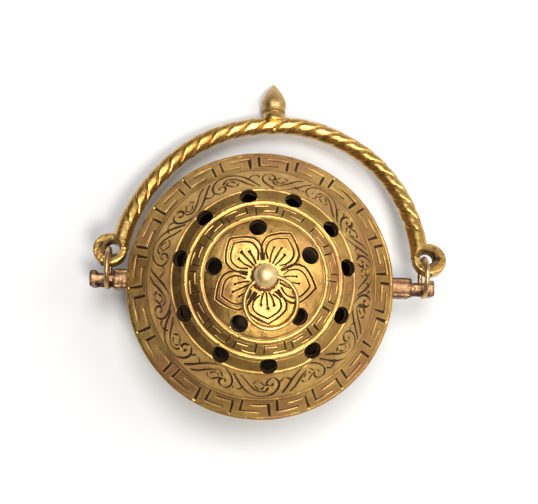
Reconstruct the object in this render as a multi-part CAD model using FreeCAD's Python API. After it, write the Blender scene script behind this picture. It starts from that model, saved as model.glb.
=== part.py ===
"""Hand-held thurible censer: a pierced dome lid over a round bowl, with a rope-twist bail on two wire links.

Millimetres. The origin is the centre of the foot's bottom plane and +Z is up. X runs through the two lugs,
and the bail lies back towards +Y with its bud resting on the surface that the foot stands on.
"""
import FreeCAD, Part
import math
import os

V = FreeCAD.Vector
ORIGIN = V(0, 0, 0)
X_AXIS = V(1, 0, 0)
Y_AXIS = V(0, 1, 0)
Z_AXIS = V(0, 0, 1)

# Bowl, foot and inner cup
RIM_Z = 30.0
BOWL_R = 48.5
BODY_R = 47.2
MOUTH_R = 45.5
WALL = 1.7
BASE_Z = 4.0
BASE_R = 27.0
SHOULDER_Z = 15.5
RIM_BAND = 3.4
BAND_EASE = 0.8
FLANK_FACETS = 8
FOOT_R = 26.0
FOOT_WALL = 3.4
FOOT_GROOVE = 1.2
CUP_LIP_R = 38.5
CUP_LIP_Z = 25.0
CUP_LIP_W = 2.0
CUP_LIP_T = 1.2
CUP_BASE_R = 17.0
CUP_FLANK_IN = 4.5
CUP_FLANK_H = 7.0
CUP_WALL = 1.3

# Lid: heights are above its own bottom plane, which sits on the bowl's rim
LID_R = 50.0
LID_SHIFT = V(-1.2, -1.0, 0)
LID_WALL = 1.8
LID_STEPS = ((49.0, 1.7), (42.3, 8.3), (32.8, 20.4), (27.7, 23.5), (22.1, 27.0))
RIDGES = ((42.3, 8.3, 0.5), (32.8, 20.4, 0.5), (27.7, 23.5, 0.9), (22.1, 27.0, 0.9))
CROWN_H = 31.6
CROWN_FACETS = 6
LID_EDGE_H = 1.3
LID_EDGE_EASE = 0.3
LID_SEAT = 3.6
LID_INSET = 1.4
CROWN_INSET = 0.8
SKIRT_R = 43.5
SKIRT_WALL = 1.4
SKIRT_DEPTH = 3.6
SKIRT_TOP = 6.4
OUTER_HOLES = (10.0, 38.7, 70.6, 101.7, 135.0, 167.4, 204.9, 241.8, 275.0, 306.6, 337.2)
INNER_HOLES = (28.2, 98.6, 168.4, 242.6, 314.0)
OUTER_HOLE_R = 30.4
INNER_HOLE_R = 18.1
SMOKE_HOLE_R = 3.05
DRILL_REACH = 6.0

# Knob and pull ring
COLLAR_R = 5.2
COLLAR_TOP = 32.6
COLLAR_EDGE = 0.3
NECK_R = 2.5
NECK_FLARE = 0.7
NECK_FLARE_H = 0.8
NECK_TOP = 35.2
NECK_CONE = 1.2
BALL_R = 4.1
BALL_H = 39.4
RING_HOLE_H = 34.2
RING_HOLE_R = 1.3
RING_R = 9.2
RING_WIRE = 0.8
RING_HEADING = 15.0
RING_TILT = 14.0
SHANK_R = 1.5
SHANK_END = 24.6
WASHER_R = 4.6
WASHER_T = 0.9
WASHER_GAP = 0.3
NUT_R = 3.4
NUT_T = 2.5
CORE_LOW = 20.0
CORE_HIGH = 40.0

# Lugs, links and the pivots between them
LUG_SPAN = 59.6
LUG_Z = 25.0
LUG_TIP = 65.4
LUG_HALF_WIDTH = 3.4
LUG_ROUND = 1.3
LUG_ROOT = 4.0
WAIST_HALF = 2.9
WAIST_BITE = 1.5
BRIDGE_R = 1.4
BRIDGE_TOP = 2.6
BRIDGE_SHOULDER = 1.75
SLOT_DEPTH = 4.6
SILL = 1.8
SILL_HALF = 2.9
PALM_T = 2.2
PALM_TOP = 25.6
PALM_HALF_Y = 8.5
RIVET_R = 1.1
RIVET_HEAD_R = 2.1
RIVET_HEAD_SINK = 1.1
RIVET_BITE = 0.5
RIVET_DROP = 3.6
RIVET_ANGLE = 6.9
LINK_R = 7.2
LINK_WIRE = 0.95
LINK_PLAY = 0.1
LINK_LEAN = 55.0
LINK_SHIFT = 1.3

# Bail, in its own plane: distance s from the pivot runs up from the eyes to the crown
BAIL_SHIFT = 2.6
EYE_S = 7.7
EYE_R = 6.2
EYE_HOLE_R = 2.5
EYE_HALF_T = 2.2
EYE_ROUND = 1.0
EYE_CHAMFER = 0.5
EYE_MOUTH = 3.0
EYE_RELIEF = 0.4
BAIL_R = 57.2
BAR_R = 3.35
BUD_R = 4.9
BUD_LENGTH = 13.4
BUD_SINK = 0.4
BUD_FOOT = 1.6
BUD_FACETS = 10
SADDLE_H = 2.4
SADDLE_R = 5.0
SADDLE_NECK_R = 3.1
TENON_R = 1.2
TENON_BLIND = 4.0
TENON_HEAD_R = 2.1
TENON_HEAD_SINK = 1.0
REST_GAP = 0.12
DROOP_STEP = 0.01
DROOP_LIMIT = 40.0

CROWN_S = EYE_S + BAIL_R
LINK_REACH = LINK_R - LINK_WIRE - BRIDGE_R - LINK_PLAY
PIVOT_Y = LINK_REACH * math.sin(math.radians(LINK_LEAN))
PIVOT_Z = LUG_Z + LINK_REACH * math.cos(math.radians(LINK_LEAN))


def polygon_face(points):
    """A flat face from a closed outline of points."""
    return Part.Face(Part.makePolygon(list(points) + [points[0]]))


def turned(profile, centre=ORIGIN):
    """A solid of revolution about the vertical, from (radius, height) pairs."""
    face = polygon_face([V(r, 0, h) for r, h in profile])
    solid = face.revolve(ORIGIN, Z_AXIS, 360)
    solid.translate(centre)
    return solid


def rod(radius, start, end):
    """A round bar from one point to another."""
    return Part.makeCylinder(radius, (end - start).Length, start, end - start)


def bowl_side(offset):
    """The bowl's rounded flank between the base and the straight shoulder, moved inwards by offset."""
    width = BODY_R - BASE_R
    height = SHOULDER_Z - BASE_Z
    points = []
    for i in range(FLANK_FACETS + 1):
        angle = math.radians(-90 + 90 * i / FLANK_FACETS)
        radius = BASE_R + (width - offset) * math.cos(angle)
        points.append((radius, SHOULDER_Z + (height - offset) * math.sin(angle)))
    return points


def make_bowl():
    band_z = RIM_Z - RIM_BAND
    outside = [(0, BASE_Z)] + bowl_side(0) + [(BODY_R, band_z - BAND_EASE), (BOWL_R, band_z), (BOWL_R, RIM_Z)]
    inside = [(MOUTH_R, RIM_Z)] + list(reversed(bowl_side(WALL))) + [(0, BASE_Z + WALL)]
    return turned(outside + inside)


def make_foot():
    inner = FOOT_R - FOOT_WALL
    groove = [(FOOT_R, FOOT_GROOVE), (FOOT_R - FOOT_GROOVE, 2 * FOOT_GROOVE), (FOOT_R, BASE_Z)]
    return turned([(inner, 0), (FOOT_R, 0)] + groove + [(inner, BASE_Z)])


def make_cup():
    floor = BASE_Z + WALL
    flank_r = CUP_LIP_R - CUP_FLANK_IN
    under_lip = CUP_LIP_Z - CUP_LIP_T
    outside = [(0, floor), (CUP_BASE_R, floor), (flank_r, floor + CUP_FLANK_H)]
    outside += [(CUP_LIP_R - CUP_LIP_W, under_lip), (CUP_LIP_R, under_lip), (CUP_LIP_R, CUP_LIP_Z)]
    inside = [(CUP_LIP_R - CUP_LIP_W - CUP_WALL, CUP_LIP_Z), (flank_r - CUP_WALL, floor + CUP_FLANK_H + 1),
              (CUP_BASE_R - 0.5, floor + CUP_WALL), (0, floor + CUP_WALL)]
    return turned(outside + inside)


def crown_points(drop, reach):
    """The lid's domed middle, from a radius in to the axis."""
    points = []
    for i in range(CROWN_FACETS + 1):
        radius = reach * (1 - i / CROWN_FACETS)
        rise = CROWN_H - LID_STEPS[-1][1]
        points.append((radius, CROWN_H - rise * (radius / LID_STEPS[-1][0]) ** 2 - drop))
    return points


def make_lid():
    edge = [(LID_R, 0), (LID_R, LID_EDGE_H), (LID_STEPS[0][0] + LID_EDGE_EASE, LID_STEPS[0][1])]
    outside = edge + list(LID_STEPS[:4]) + crown_points(0, LID_STEPS[-1][0])
    inside = [(0, CROWN_H - LID_WALL)]
    inside += list(reversed(crown_points(LID_WALL, LID_STEPS[-1][0] - CROWN_INSET)))[1:]
    inside += [(r - LID_INSET, h - LID_INSET) for r, h in reversed(LID_STEPS[1:4])]
    inside += [(LID_R - LID_SEAT, 0)]
    shell = turned(outside + inside)
    for radius, height, thick in RIDGES:
        shell = shell.fuse(Part.makeTorus(radius, thick, V(0, 0, height), Z_AXIS))
    for angles, radius in ((OUTER_HOLES, OUTER_HOLE_R), (INNER_HOLES, INNER_HOLE_R)):
        for angle in angles:
            shell = shell.cut(smoke_hole(radius, angle))
    shell = shell.cut(core_drill())
    shell.translate(LID_SHIFT + V(0, 0, RIM_Z))
    return shell.removeSplitter()


def core_drill():
    """The drill for the knob's shank, up the lid's axis."""
    return rod(SHANK_R, V(0, 0, CORE_LOW), V(0, 0, CORE_HIGH))


def surface_height(radius):
    """The lid's height at a radius."""
    if radius < LID_STEPS[-1][0]:
        return CROWN_H - (CROWN_H - LID_STEPS[-1][1]) * (radius / LID_STEPS[-1][0]) ** 2
    for (r0, h0), (r1, h1) in zip(LID_STEPS, LID_STEPS[1:]):
        if r1 <= radius <= r0:
            return h0 + (h1 - h0) * (r0 - radius) / (r0 - r1)
    return 0.0


def smoke_hole(radius, angle):
    """A drill square to the lid's surface."""
    slope = surface_height(radius - 0.5) - surface_height(radius + 0.5)
    turn = math.radians(angle)
    outward = V(math.cos(turn), math.sin(turn), 0)
    middle = outward * radius + V(0, 0, surface_height(radius))
    normal = outward * slope + Z_AXIS
    normal.normalize()
    return rod(SMOKE_HOLE_R, middle - normal * DRILL_REACH, middle + normal * DRILL_REACH)


def make_skirt(lid):
    """The ring inside the lid that finds the bowl's mouth."""
    ring = turned([(SKIRT_R - SKIRT_WALL, -SKIRT_DEPTH), (SKIRT_R, -SKIRT_DEPTH), (SKIRT_R, SKIRT_TOP),
                   (SKIRT_R - SKIRT_WALL, SKIRT_TOP + SKIRT_WALL)], LID_SHIFT + V(0, 0, RIM_Z))
    pieces = ring.cut(lid).Solids
    return min(pieces, key=lambda piece: piece.CenterOfMass.z)


def ring_plane():
    """The pull ring's direction away from the knob, and the level line that it turns about."""
    heading = math.radians(RING_HEADING)
    level = V(math.sin(heading), -math.cos(heading), 0)
    turn_axis = level.cross(Z_AXIS)
    outward = level * math.cos(math.radians(RING_TILT)) - Z_AXIS * math.sin(math.radians(RING_TILT))
    return outward, turn_axis


def knob_parts():
    """The knob with its collar above the lid, and the washer and nut below it."""
    turn_axis = ring_plane()[1]
    neck = turned([(0, COLLAR_TOP), (NECK_R + NECK_FLARE, COLLAR_TOP), (NECK_R, COLLAR_TOP + NECK_FLARE_H),
                   (NECK_R, NECK_TOP), (NECK_R - 0.5, NECK_TOP + NECK_CONE), (0, NECK_TOP + 1.5 * NECK_CONE)])
    shank = rod(SHANK_R, V(0, 0, SHANK_END), V(0, 0, COLLAR_TOP))
    knob = neck.fuse([Part.makeSphere(BALL_R, V(0, 0, BALL_H)), shank])
    hole_at = V(0, 0, RING_HOLE_H)
    knob = knob.cut(rod(RING_HOLE_R, hole_at - turn_axis * DRILL_REACH, hole_at + turn_axis * DRILL_REACH))
    collar = turned([(SHANK_R, CROWN_H), (COLLAR_R, CROWN_H - COLLAR_EDGE), (COLLAR_R, CROWN_H + COLLAR_EDGE),
                     (COLLAR_R - 1.0, COLLAR_TOP), (SHANK_R, COLLAR_TOP)])
    crown_r = LID_STEPS[-1][0]
    crown = turned([(0, CORE_LOW), (crown_r, CORE_LOW)] + crown_points(0, crown_r))
    under = CROWN_H - LID_WALL - WASHER_GAP
    seat = under - WASHER_T
    washer = turned([(SHANK_R, seat), (WASHER_R, seat), (WASHER_R, under), (SHANK_R, under)])
    corners = [math.radians(60 * i) for i in range(6)]
    nut = polygon_face([V(NUT_R * math.cos(a), NUT_R * math.sin(a), seat - NUT_T) for a in corners])
    nut = nut.extrude(V(0, 0, NUT_T)).cut(core_drill())
    parts = {"knob": knob.removeSplitter(), "knob_collar": collar.cut(crown)}
    parts.update({"knob_washer": washer, "knob_nut": nut})
    for solid in parts.values():
        solid.translate(LID_SHIFT + V(0, 0, RIM_Z))
    return parts


def make_pull_ring():
    outward, turn_axis = ring_plane()
    centre = LID_SHIFT + V(0, 0, RIM_Z + RING_HOLE_H) + outward * RING_R
    return Part.makeTorus(RING_R, RING_WIRE, centre, outward.cross(turn_axis))


def rounded_block(x0, x1, y_half, z0, z1, fillet):
    """A block between two X stations with its long edges rounded."""
    block = Part.makeBox(x1 - x0, 2 * y_half, z1 - z0, V(x0, -y_half, z0))
    return block.makeFillet(fillet, block.Edges)


def prism_x(outline, x0, x1):
    """An outline of (y, z) pairs about the lug's pivot, drawn out along X."""
    face = polygon_face([V(x0, y, LUG_Z + z) for y, z in outline])
    return face.extrude(V(x1 - x0, 0, 0))


def make_lug(bowl):
    """A lug on the +X side: a palm on the bowl's wall, two bosses and the slotted waist between them."""
    sill_top = -BRIDGE_R - SLOT_DEPTH
    low = LUG_Z + sill_top - SILL
    high = LUG_Z + BRIDGE_TOP
    waist0 = LUG_SPAN - WAIST_HALF
    waist1 = LUG_SPAN + WAIST_HALF
    inner = rounded_block(BODY_R - LUG_ROOT, waist0, LUG_HALF_WIDTH, low, high, LUG_ROUND)
    outer = rounded_block(waist1, LUG_TIP, LUG_HALF_WIDTH, low, high, LUG_ROUND)
    reach0 = waist0 - WAIST_BITE
    reach1 = waist1 + WAIST_BITE
    round_under = rod(BRIDGE_R, V(reach0, 0, LUG_Z), V(reach1, 0, LUG_Z))
    bridge = [(-BRIDGE_R, 0), (BRIDGE_R, 0), (BRIDGE_SHOULDER, BRIDGE_R), (BRIDGE_R - 0.1, BRIDGE_TOP - 0.2),
              (0.1 - BRIDGE_R, BRIDGE_TOP - 0.2), (-BRIDGE_SHOULDER, BRIDGE_R)]
    sill_low = sill_top - SILL + 0.1
    sill_mid = (sill_top + sill_low) / 2
    sill = [(0.5 - SILL_HALF, sill_top), (SILL_HALF - 0.5, sill_top), (SILL_HALF, sill_mid),
            (SILL_HALF - 0.7, sill_low), (0.7 - SILL_HALF, sill_low), (-SILL_HALF, sill_mid)]
    palm_r = BODY_R + PALM_T
    palm = turned([(BODY_R, low - 0.4), (palm_r, low), (palm_r, PALM_TOP), (BODY_R, PALM_TOP)])
    palm = palm.common(Part.makeBox(LUG_SPAN, 2 * PALM_HALF_Y, RIM_Z, V(LUG_ROOT, -PALM_HALF_Y, 0)))
    waist = [round_under, prism_x(bridge, reach0, reach1), prism_x(sill, reach0, reach1)]
    lug = inner.fuse(waist + [outer, palm])
    core = Part.makeCylinder(BODY_R, RIM_Z)
    return lug.cut(core).cut(bowl).removeSplitter()


def rivet_lines():
    """Start points and directions of the two rivets through a lug's palm on the +X side."""
    lines = []
    for angle in (-RIVET_ANGLE, RIVET_ANGLE):
        turn = math.radians(angle)
        lines.append(V(math.cos(turn), math.sin(turn), 0))
    return lines


def rivet_z():
    return LUG_Z - RIVET_DROP


def rivet_shanks():
    level = V(0, 0, rivet_z())
    inner = BODY_R - WALL - RIVET_BITE
    outer = BODY_R + PALM_T + RIVET_BITE
    return [rod(RIVET_R, level + way * inner, level + way * outer) for way in rivet_lines()]


def make_rivets(lug, bowl):
    """Two round-headed rivets, set against the palm outside and the wall inside."""
    level = V(0, 0, rivet_z())
    rivets = []
    for way, shank in zip(rivet_lines(), rivet_shanks()):
        heads = []
        for seat, outward in ((BODY_R + PALM_T, 1), (BODY_R - WALL, -1)):
            ball = Part.makeSphere(RIVET_HEAD_R, level + way * (seat - outward * RIVET_HEAD_SINK))
            heads.append(ball.cut(bowl).cut(lug))
        solids = [piece for head in heads for piece in head.Solids]
        outer = max(solids, key=lambda piece: piece.CenterOfMass.dot(way))
        inner = min(solids, key=lambda piece: piece.CenterOfMass.dot(way))
        rivets.append(shank.fuse([outer, inner]).removeSplitter())
    return Part.makeCompound(rivets)


def mirrored(shape):
    return shape.mirror(ORIGIN, X_AXIS)


def make_link(side):
    centre = V(side * LUG_SPAN + LINK_SHIFT, PIVOT_Y, PIVOT_Z)
    return Part.makeTorus(LINK_R, LINK_WIRE, centre, X_AXIS)


def bail_angle():
    """How far the bail droops below level when its bud rests on the ground."""
    droop = 0.0
    outline = bud_outline()
    while droop < DROOP_LIMIT:
        angle = math.radians(droop + DROOP_STEP)
        lowest = min(PIVOT_Z - (CROWN_S + s) * math.sin(angle) - r * math.cos(angle) for s, r in outline)
        if lowest < REST_GAP:
            break
        droop += DROOP_STEP
    return droop


def bud_outline():
    """The bud's (distance past the bar's centreline, radius) profile, from its foot to its tip."""
    start = BAR_R + SADDLE_H - BUD_SINK
    swell_start = start + BUD_FOOT
    outline = [(start, BUD_R - 1.6), (start + 0.7, BUD_R - 1.0), (start + 1.2, BUD_R - 1.5)]
    for i in range(BUD_FACETS + 1):
        t = i / BUD_FACETS
        swell = math.sin(math.pi * (0.16 + 0.84 * t) ** 0.62)
        outline.append((swell_start + (BUD_LENGTH - BUD_FOOT) * t, BUD_R * max(swell, 0.0) ** 0.9))
    return outline


def placed_on_bail(shape):
    """From the bail's own plane (X across, Y up from the pivot) to where it lies at rest."""
    shape.rotate(ORIGIN, X_AXIS, -bail_angle())
    shape.translate(V(BAIL_SHIFT, PIVOT_Y, PIVOT_Z))
    return shape


def make_bail():
    """The arch with a pierced eye at each end and a hole for the bud's tenon at its crown."""
    circle = Part.Face(Part.Wire(Part.makeCircle(BAR_R, V(BAIL_R, EYE_S, 0), Y_AXIS)))
    bail = circle.revolve(V(0, EYE_S, 0), Z_AXIS, 180)
    for side in (-1, 1):
        middle = V(side * LUG_SPAN, EYE_S, 0)
        disc = Part.makeCylinder(EYE_R, 2 * EYE_HALF_T, middle - Z_AXIS * EYE_HALF_T, Z_AXIS)
        rims = [edge for edge in disc.Edges if edge.Closed]
        disc = disc.makeFillet(EYE_ROUND, rims)
        stub = Part.makeSphere(BAR_R, V(side * BAIL_R, EYE_S, 0))
        bail = bail.fuse([disc, stub])
    for side in (-1, 1):
        middle = V(side * LUG_SPAN, EYE_S, 0)
        bail = bail.cut(rod(EYE_HOLE_R, middle - Z_AXIS * BAR_R, middle + Z_AXIS * BAR_R))
        for face in (-1, 1):
            mouth_at = middle + Z_AXIS * face * (EYE_HALF_T - EYE_CHAMFER)
            mouth = Part.makeCone(EYE_HOLE_R, EYE_HOLE_R + EYE_MOUTH, EYE_MOUTH, mouth_at, Z_AXIS * face)
            bail = bail.cut(mouth)
        link_at = V(side * LUG_SPAN - (BAIL_SHIFT - LINK_SHIFT), 0, 0)
        bail = bail.cut(Part.makeTorus(LINK_R, LINK_WIRE + EYE_RELIEF, link_at, X_AXIS))
    return bail.cut(rod(TENON_R, V(0, BAIL_R, 0), V(0, CROWN_S + BAR_R + 1, 0)))


def along_s(profile):
    """A solid of revolution about the bail's centre line, from (distance past the crown, radius) pairs."""
    face = polygon_face([V(radius, CROWN_S + s, 0) for s, radius in profile])
    return face.revolve(ORIGIN, Y_AXIS, 360)


def finial_parts():
    """The bud, its flared saddle and the tenon that holds both on the bar."""
    bar = Part.makeTorus(BAIL_R, BAR_R, V(0, EYE_S, 0), Z_AXIS)
    start = bud_outline()[0][0]
    end = V(0, CROWN_S + start + TENON_BLIND, 0)
    bud = along_s([(start, 0)] + bud_outline()).cut(rod(TENON_R, V(0, CROWN_S, 0), end))
    flare = [(0, SADDLE_R), (BAR_R - 0.2, SADDLE_R - 0.1), (BAR_R + 0.9, SADDLE_R - 1.4)]
    saddle = along_s([(0, TENON_R)] + flare + [(start, SADDLE_NECK_R), (start, TENON_R)])
    saddle = max(saddle.cut(bar).Solids, key=lambda piece: piece.CenterOfMass.y)
    tenon = rod(TENON_R, V(0, CROWN_S - BAR_R, 0), end)
    head = Part.makeSphere(TENON_HEAD_R, V(0, CROWN_S - BAR_R + TENON_HEAD_SINK, 0)).cut(bar)
    head = min(head.Solids, key=lambda piece: piece.CenterOfMass.y)
    return {"finial": bud, "finial_collar": saddle, "finial_tenon": tenon.fuse(head).removeSplitter()}


def build():
    parts = {"bowl": make_bowl(), "foot_ring": make_foot(), "ember_cup": make_cup()}
    lug = make_lug(parts["bowl"])
    rivets = make_rivets(lug, parts["bowl"])
    for shank in rivet_shanks():
        lug = lug.cut(shank)
        parts["bowl"] = parts["bowl"].cut([shank, mirrored(shank)])
    parts["right_lug"] = lug
    parts["left_lug"] = mirrored(lug)
    parts["right_lug_rivets"] = rivets
    parts["left_lug_rivets"] = mirrored(rivets)
    parts["right_link"] = make_link(1)
    parts["left_link"] = make_link(-1)
    parts["bail"] = placed_on_bail(make_bail())
    for name, solid in finial_parts().items():
        parts[name] = placed_on_bail(solid)
    parts["lid"] = make_lid()
    parts["lid_skirt"] = make_skirt(parts["lid"])
    parts.update(knob_parts())
    parts["pull_ring"] = make_pull_ring()
    return parts


os.makedirs("parts", exist_ok=True)
print("bail droop %.2f, pivot y %.3f z %.3f, crown s %.2f" % (bail_angle(), PIVOT_Y, PIVOT_Z, CROWN_S))
for name, shape in build().items():
    box = shape.BoundBox
    print("%-18s solids %d valid %s z %.2f..%.2f x %.1f..%.1f y %.1f..%.1f volume %.0f" % (
        name, len(shape.Solids), shape.isValid(), box.ZMin, box.ZMax, box.XMin, box.XMax, box.YMin, box.YMax,
        shape.Volume))
    shape.exportStep("parts/%s.step" % name)
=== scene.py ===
"""The looks of a hand-held thurible censer in aged brass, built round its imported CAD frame."""
import math
import bmesh
import bpy
import numpy as np
from mathutils import Matrix, Vector


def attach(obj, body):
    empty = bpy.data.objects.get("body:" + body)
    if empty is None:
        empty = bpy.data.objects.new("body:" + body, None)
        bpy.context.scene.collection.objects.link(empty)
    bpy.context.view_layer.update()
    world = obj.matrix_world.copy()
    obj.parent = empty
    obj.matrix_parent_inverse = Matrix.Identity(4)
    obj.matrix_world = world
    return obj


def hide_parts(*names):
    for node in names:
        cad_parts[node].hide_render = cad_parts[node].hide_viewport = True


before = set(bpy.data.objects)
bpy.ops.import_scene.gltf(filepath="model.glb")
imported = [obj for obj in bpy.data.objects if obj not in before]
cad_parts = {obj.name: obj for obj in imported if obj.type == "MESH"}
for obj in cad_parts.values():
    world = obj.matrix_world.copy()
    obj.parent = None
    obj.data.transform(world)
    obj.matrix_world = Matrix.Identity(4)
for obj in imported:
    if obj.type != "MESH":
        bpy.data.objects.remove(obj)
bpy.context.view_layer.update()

# ---------------------------------------------------------------- sizes, in millimetres
MM = 0.001
LID_AXIS = np.array([-1.2, -1.0, 30.0])
LID_EDGE_R = 50.0
STEP_R = (49.0, 42.3, 32.8, 27.7, 22.1)
STEP_H = (1.7, 8.3, 20.4, 23.5, 27.0)
CROWN_H = 31.6
COLLAR_TOP = 32.6
LID_WALL = 1.5
HOLE_LIP = 0.2
OUTER_HOLES = (10.0, 38.7, 70.6, 101.7, 135.0, 167.4, 204.9, 241.8, 275.0, 306.6, 337.2)
INNER_HOLES = (28.2, 98.6, 168.4, 242.6, 314.0)
OUTER_HOLE_R, INNER_HOLE_R, SMOKE_HOLE_R = 30.4, 18.1, 3.05
PIVOT = np.array([2.6, 3.891, 27.724])
DROOP = math.radians(17.78)
LUG_SPAN, LUG_Z = 59.6, 25.0
EYE_S, BAIL_R, BAR_R = 7.7, 57.2, 3.35


# ---------------------------------------------------------------- small tools
def smooth01(x):
    x = np.clip(x, 0.0, 1.0)
    return x * x * (3 - 2 * x)


def ripple(points, size, seed, waves=18):
    """Smooth wandering values of about -1..1 over points, with features of about the given size."""
    rng = np.random.default_rng(seed)
    total = np.zeros(len(points))
    for _ in range(waves):
        way = rng.normal(size=3)
        way /= np.linalg.norm(way)
        reach = size * rng.uniform(0.6, 1.6)
        total += np.sin(points @ way * (2 * math.pi / reach) + rng.uniform(0, 2 * math.pi))
    return total / math.sqrt(waves)


def make_mesh(name, points_mm, faces, attributes=None, smooth=True):
    """A mesh object in the row frame from points in millimetres and a list or array of faces."""
    mesh = bpy.data.meshes.new(name)
    points = np.asarray(points_mm, float) * MM
    if isinstance(faces, np.ndarray):
        mesh.vertices.add(len(points))
        mesh.vertices.foreach_set("co", points.astype(np.float32).ravel())
        corners = faces.shape[1]
        mesh.loops.add(faces.size)
        mesh.loops.foreach_set("vertex_index", faces.astype(np.int32).ravel())
        mesh.polygons.add(len(faces))
        mesh.polygons.foreach_set("loop_start", np.arange(0, faces.size, corners, dtype=np.int32))
        mesh.update(calc_edges=True)
    else:
        mesh.from_pydata([tuple(p) for p in points], [], faces)
        mesh.update()
    for key, values in (attributes or {}).items():
        store(mesh, key, values)
    if smooth:
        mesh.shade_smooth()
    obj = bpy.data.objects.new(name, mesh)
    bpy.context.scene.collection.objects.link(obj)
    return obj


def store(mesh, key, values):
    values = np.asarray(values, np.float32)
    kind = "FLOAT" if values.ndim == 1 else "FLOAT_VECTOR"
    if key in mesh.attributes:
        mesh.attributes.remove(mesh.attributes[key])
    layer = mesh.attributes.new(key, kind, "POINT")
    layer.data.foreach_set("value" if values.ndim == 1 else "vector", values.ravel())


def points_of(obj):
    flat = np.zeros(len(obj.data.vertices) * 3, np.float32)
    obj.data.vertices.foreach_get("co", flat)
    return flat.reshape(-1, 3).astype(float) / MM


def normals_of(obj):
    flat = np.zeros(len(obj.data.vertices) * 3, np.float32)
    obj.data.vertices.foreach_get("normal", flat)
    return flat.reshape(-1, 3).astype(float)


def set_points(obj, points_mm):
    obj.data.vertices.foreach_set("co", (points_mm * MM).astype(np.float32).ravel())
    obj.data.update()


def grid_faces(rows, cols, wrap=True):
    """Quads over a rows x cols grid of points, closed round the columns if wrap."""
    row = np.arange(rows - 1)[:, None]
    col = np.arange(cols if wrap else cols - 1)[None, :]
    after = (col + 1) % cols
    a, b = row * cols + col, row * cols + after
    return np.stack([a, b, b + cols, a + cols], -1).reshape(-1, 4)


def finished(obj, body, slot, material, *nodes):
    obj.data.materials.clear()
    obj.data.materials.append(material)
    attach(obj, body)
    if nodes:
        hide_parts(*nodes)
    return obj


def applied(obj):
    """Applies the object's modifiers."""
    dg = bpy.context.evaluated_depsgraph_get()
    mesh = bpy.data.meshes.new_from_object(obj.evaluated_get(dg))
    obj.modifiers.clear()
    obj.data = mesh
    return obj


def joined_bodies(name, parts, holes, voxel, softening):
    """Closed meshes melted into one casting, less the holes, with softened corners."""
    bm = bmesh.new()
    for part in parts:
        bm.from_mesh(part.data)
        bpy.data.objects.remove(part)
    mesh = bpy.data.meshes.new(name)
    bm.to_mesh(mesh)
    bm.free()
    obj = bpy.data.objects.new(name, mesh)
    bpy.context.scene.collection.objects.link(obj)
    melt = obj.modifiers.new("melt", "REMESH")
    melt.mode = "VOXEL"
    melt.voxel_size = voxel * MM
    applied(obj)
    for hole in holes:
        cut = obj.modifiers.new("cut", "BOOLEAN")
        cut.operation = "DIFFERENCE"
        cut.solver = "EXACT"
        cut.object = hole
        applied(obj)
        bpy.data.objects.remove(hole)
    if holes:
        melt = obj.modifiers.new("melt", "REMESH")
        melt.mode = "VOXEL"
        melt.voxel_size = voxel * MM
    ease = obj.modifiers.new("ease", "SMOOTH")
    ease.factor = 0.5
    ease.iterations = softening
    applied(obj)
    obj.data.shade_smooth()
    return obj


def facing_out(obj, caps=()):
    """Closes the mesh with the given caps and turns every face outwards."""
    bm = bmesh.new()
    bm.from_mesh(obj.data)
    bm.verts.ensure_lookup_table()
    for cap in caps:
        bm.faces.new([bm.verts[i] for i in cap])
    bmesh.ops.recalc_face_normals(bm, faces=bm.faces)
    bm.to_mesh(obj.data)
    bm.free()
    return obj


def lathe(name, profile, segments, centre=(0, 0, 0), axis=None, close=True):
    """A turned piece from (radius, height) pairs; axis gives (origin, x, y, z) for one not upright."""
    profile = np.asarray(profile, float)
    turn = np.linspace(0, 2 * math.pi, segments, endpoint=False)
    radius, height = profile[:, 0][:, None], profile[:, 1][:, None]
    local = np.stack([radius * np.cos(turn), radius * np.sin(turn), height + 0 * turn], -1).reshape(-1, 3)
    if axis is None:
        points = local + np.asarray(centre, float)
    else:
        origin, ax, ay, az = (np.asarray(v, float) for v in axis)
        points = origin + local[:, :1] * ax + local[:, 1:2] * ay + local[:, 2:] * az
    rows = len(profile)
    faces = grid_faces(rows, segments)
    if close:
        faces = np.concatenate([faces, grid_faces(2, segments) % segments
                                + np.where(grid_faces(2, segments) >= segments, 0, (rows - 1) * segments)])
    return make_mesh(name, points, faces)


def rounded(points, corner, steps=4):
    """A (radius, height) outline with each inner corner eased by a short curve."""
    points = [np.array(p, float) for p in points]
    out = [points[0]]
    for before, at, after in zip(points, points[1:], points[2:]):
        reach = min(corner, 0.45 * np.linalg.norm(at - before), 0.45 * np.linalg.norm(after - at))
        a = at + (before - at) / max(np.linalg.norm(before - at), 1e-9) * reach
        b = at + (after - at) / max(np.linalg.norm(after - at), 1e-9) * reach
        for i in range(steps + 1):
            t = i / steps
            out.append((1 - t) ** 2 * a + 2 * t * (1 - t) * at + t * t * b)
    out.append(points[-1])
    return np.array(out)


def refined(points, spacing):
    """A polyline with points added so that none are further apart than spacing."""
    out = [np.array(points[0], float)]
    for a, b in zip(points, points[1:]):
        a, b = np.array(a, float), np.array(b, float)
        count = max(1, int(math.ceil(np.linalg.norm(b - a) / spacing)))
        for i in range(1, count + 1):
            out.append(a + (b - a) * i / count)
    return np.array(out)


def curve_through(points, steps=6):
    """A smooth line through the given points (Catmull-Rom)."""
    pts = np.asarray(points, float)
    ends = np.concatenate([[2 * pts[0] - pts[1]], pts, [2 * pts[-1] - pts[-2]]])
    out = [pts[0]]
    for i in range(1, len(ends) - 2):
        p0, p1, p2, p3 = ends[i - 1], ends[i], ends[i + 1], ends[i + 2]
        for k in range(1, steps + 1):
            t = k / steps
            out.append(0.5 * (2 * p1 + (p2 - p0) * t + (2 * p0 - 5 * p1 + 4 * p2 - p3) * t * t
                              + (3 * p1 - p0 - 3 * p2 + p3) * t ** 3))
    return np.array(out)


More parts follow.
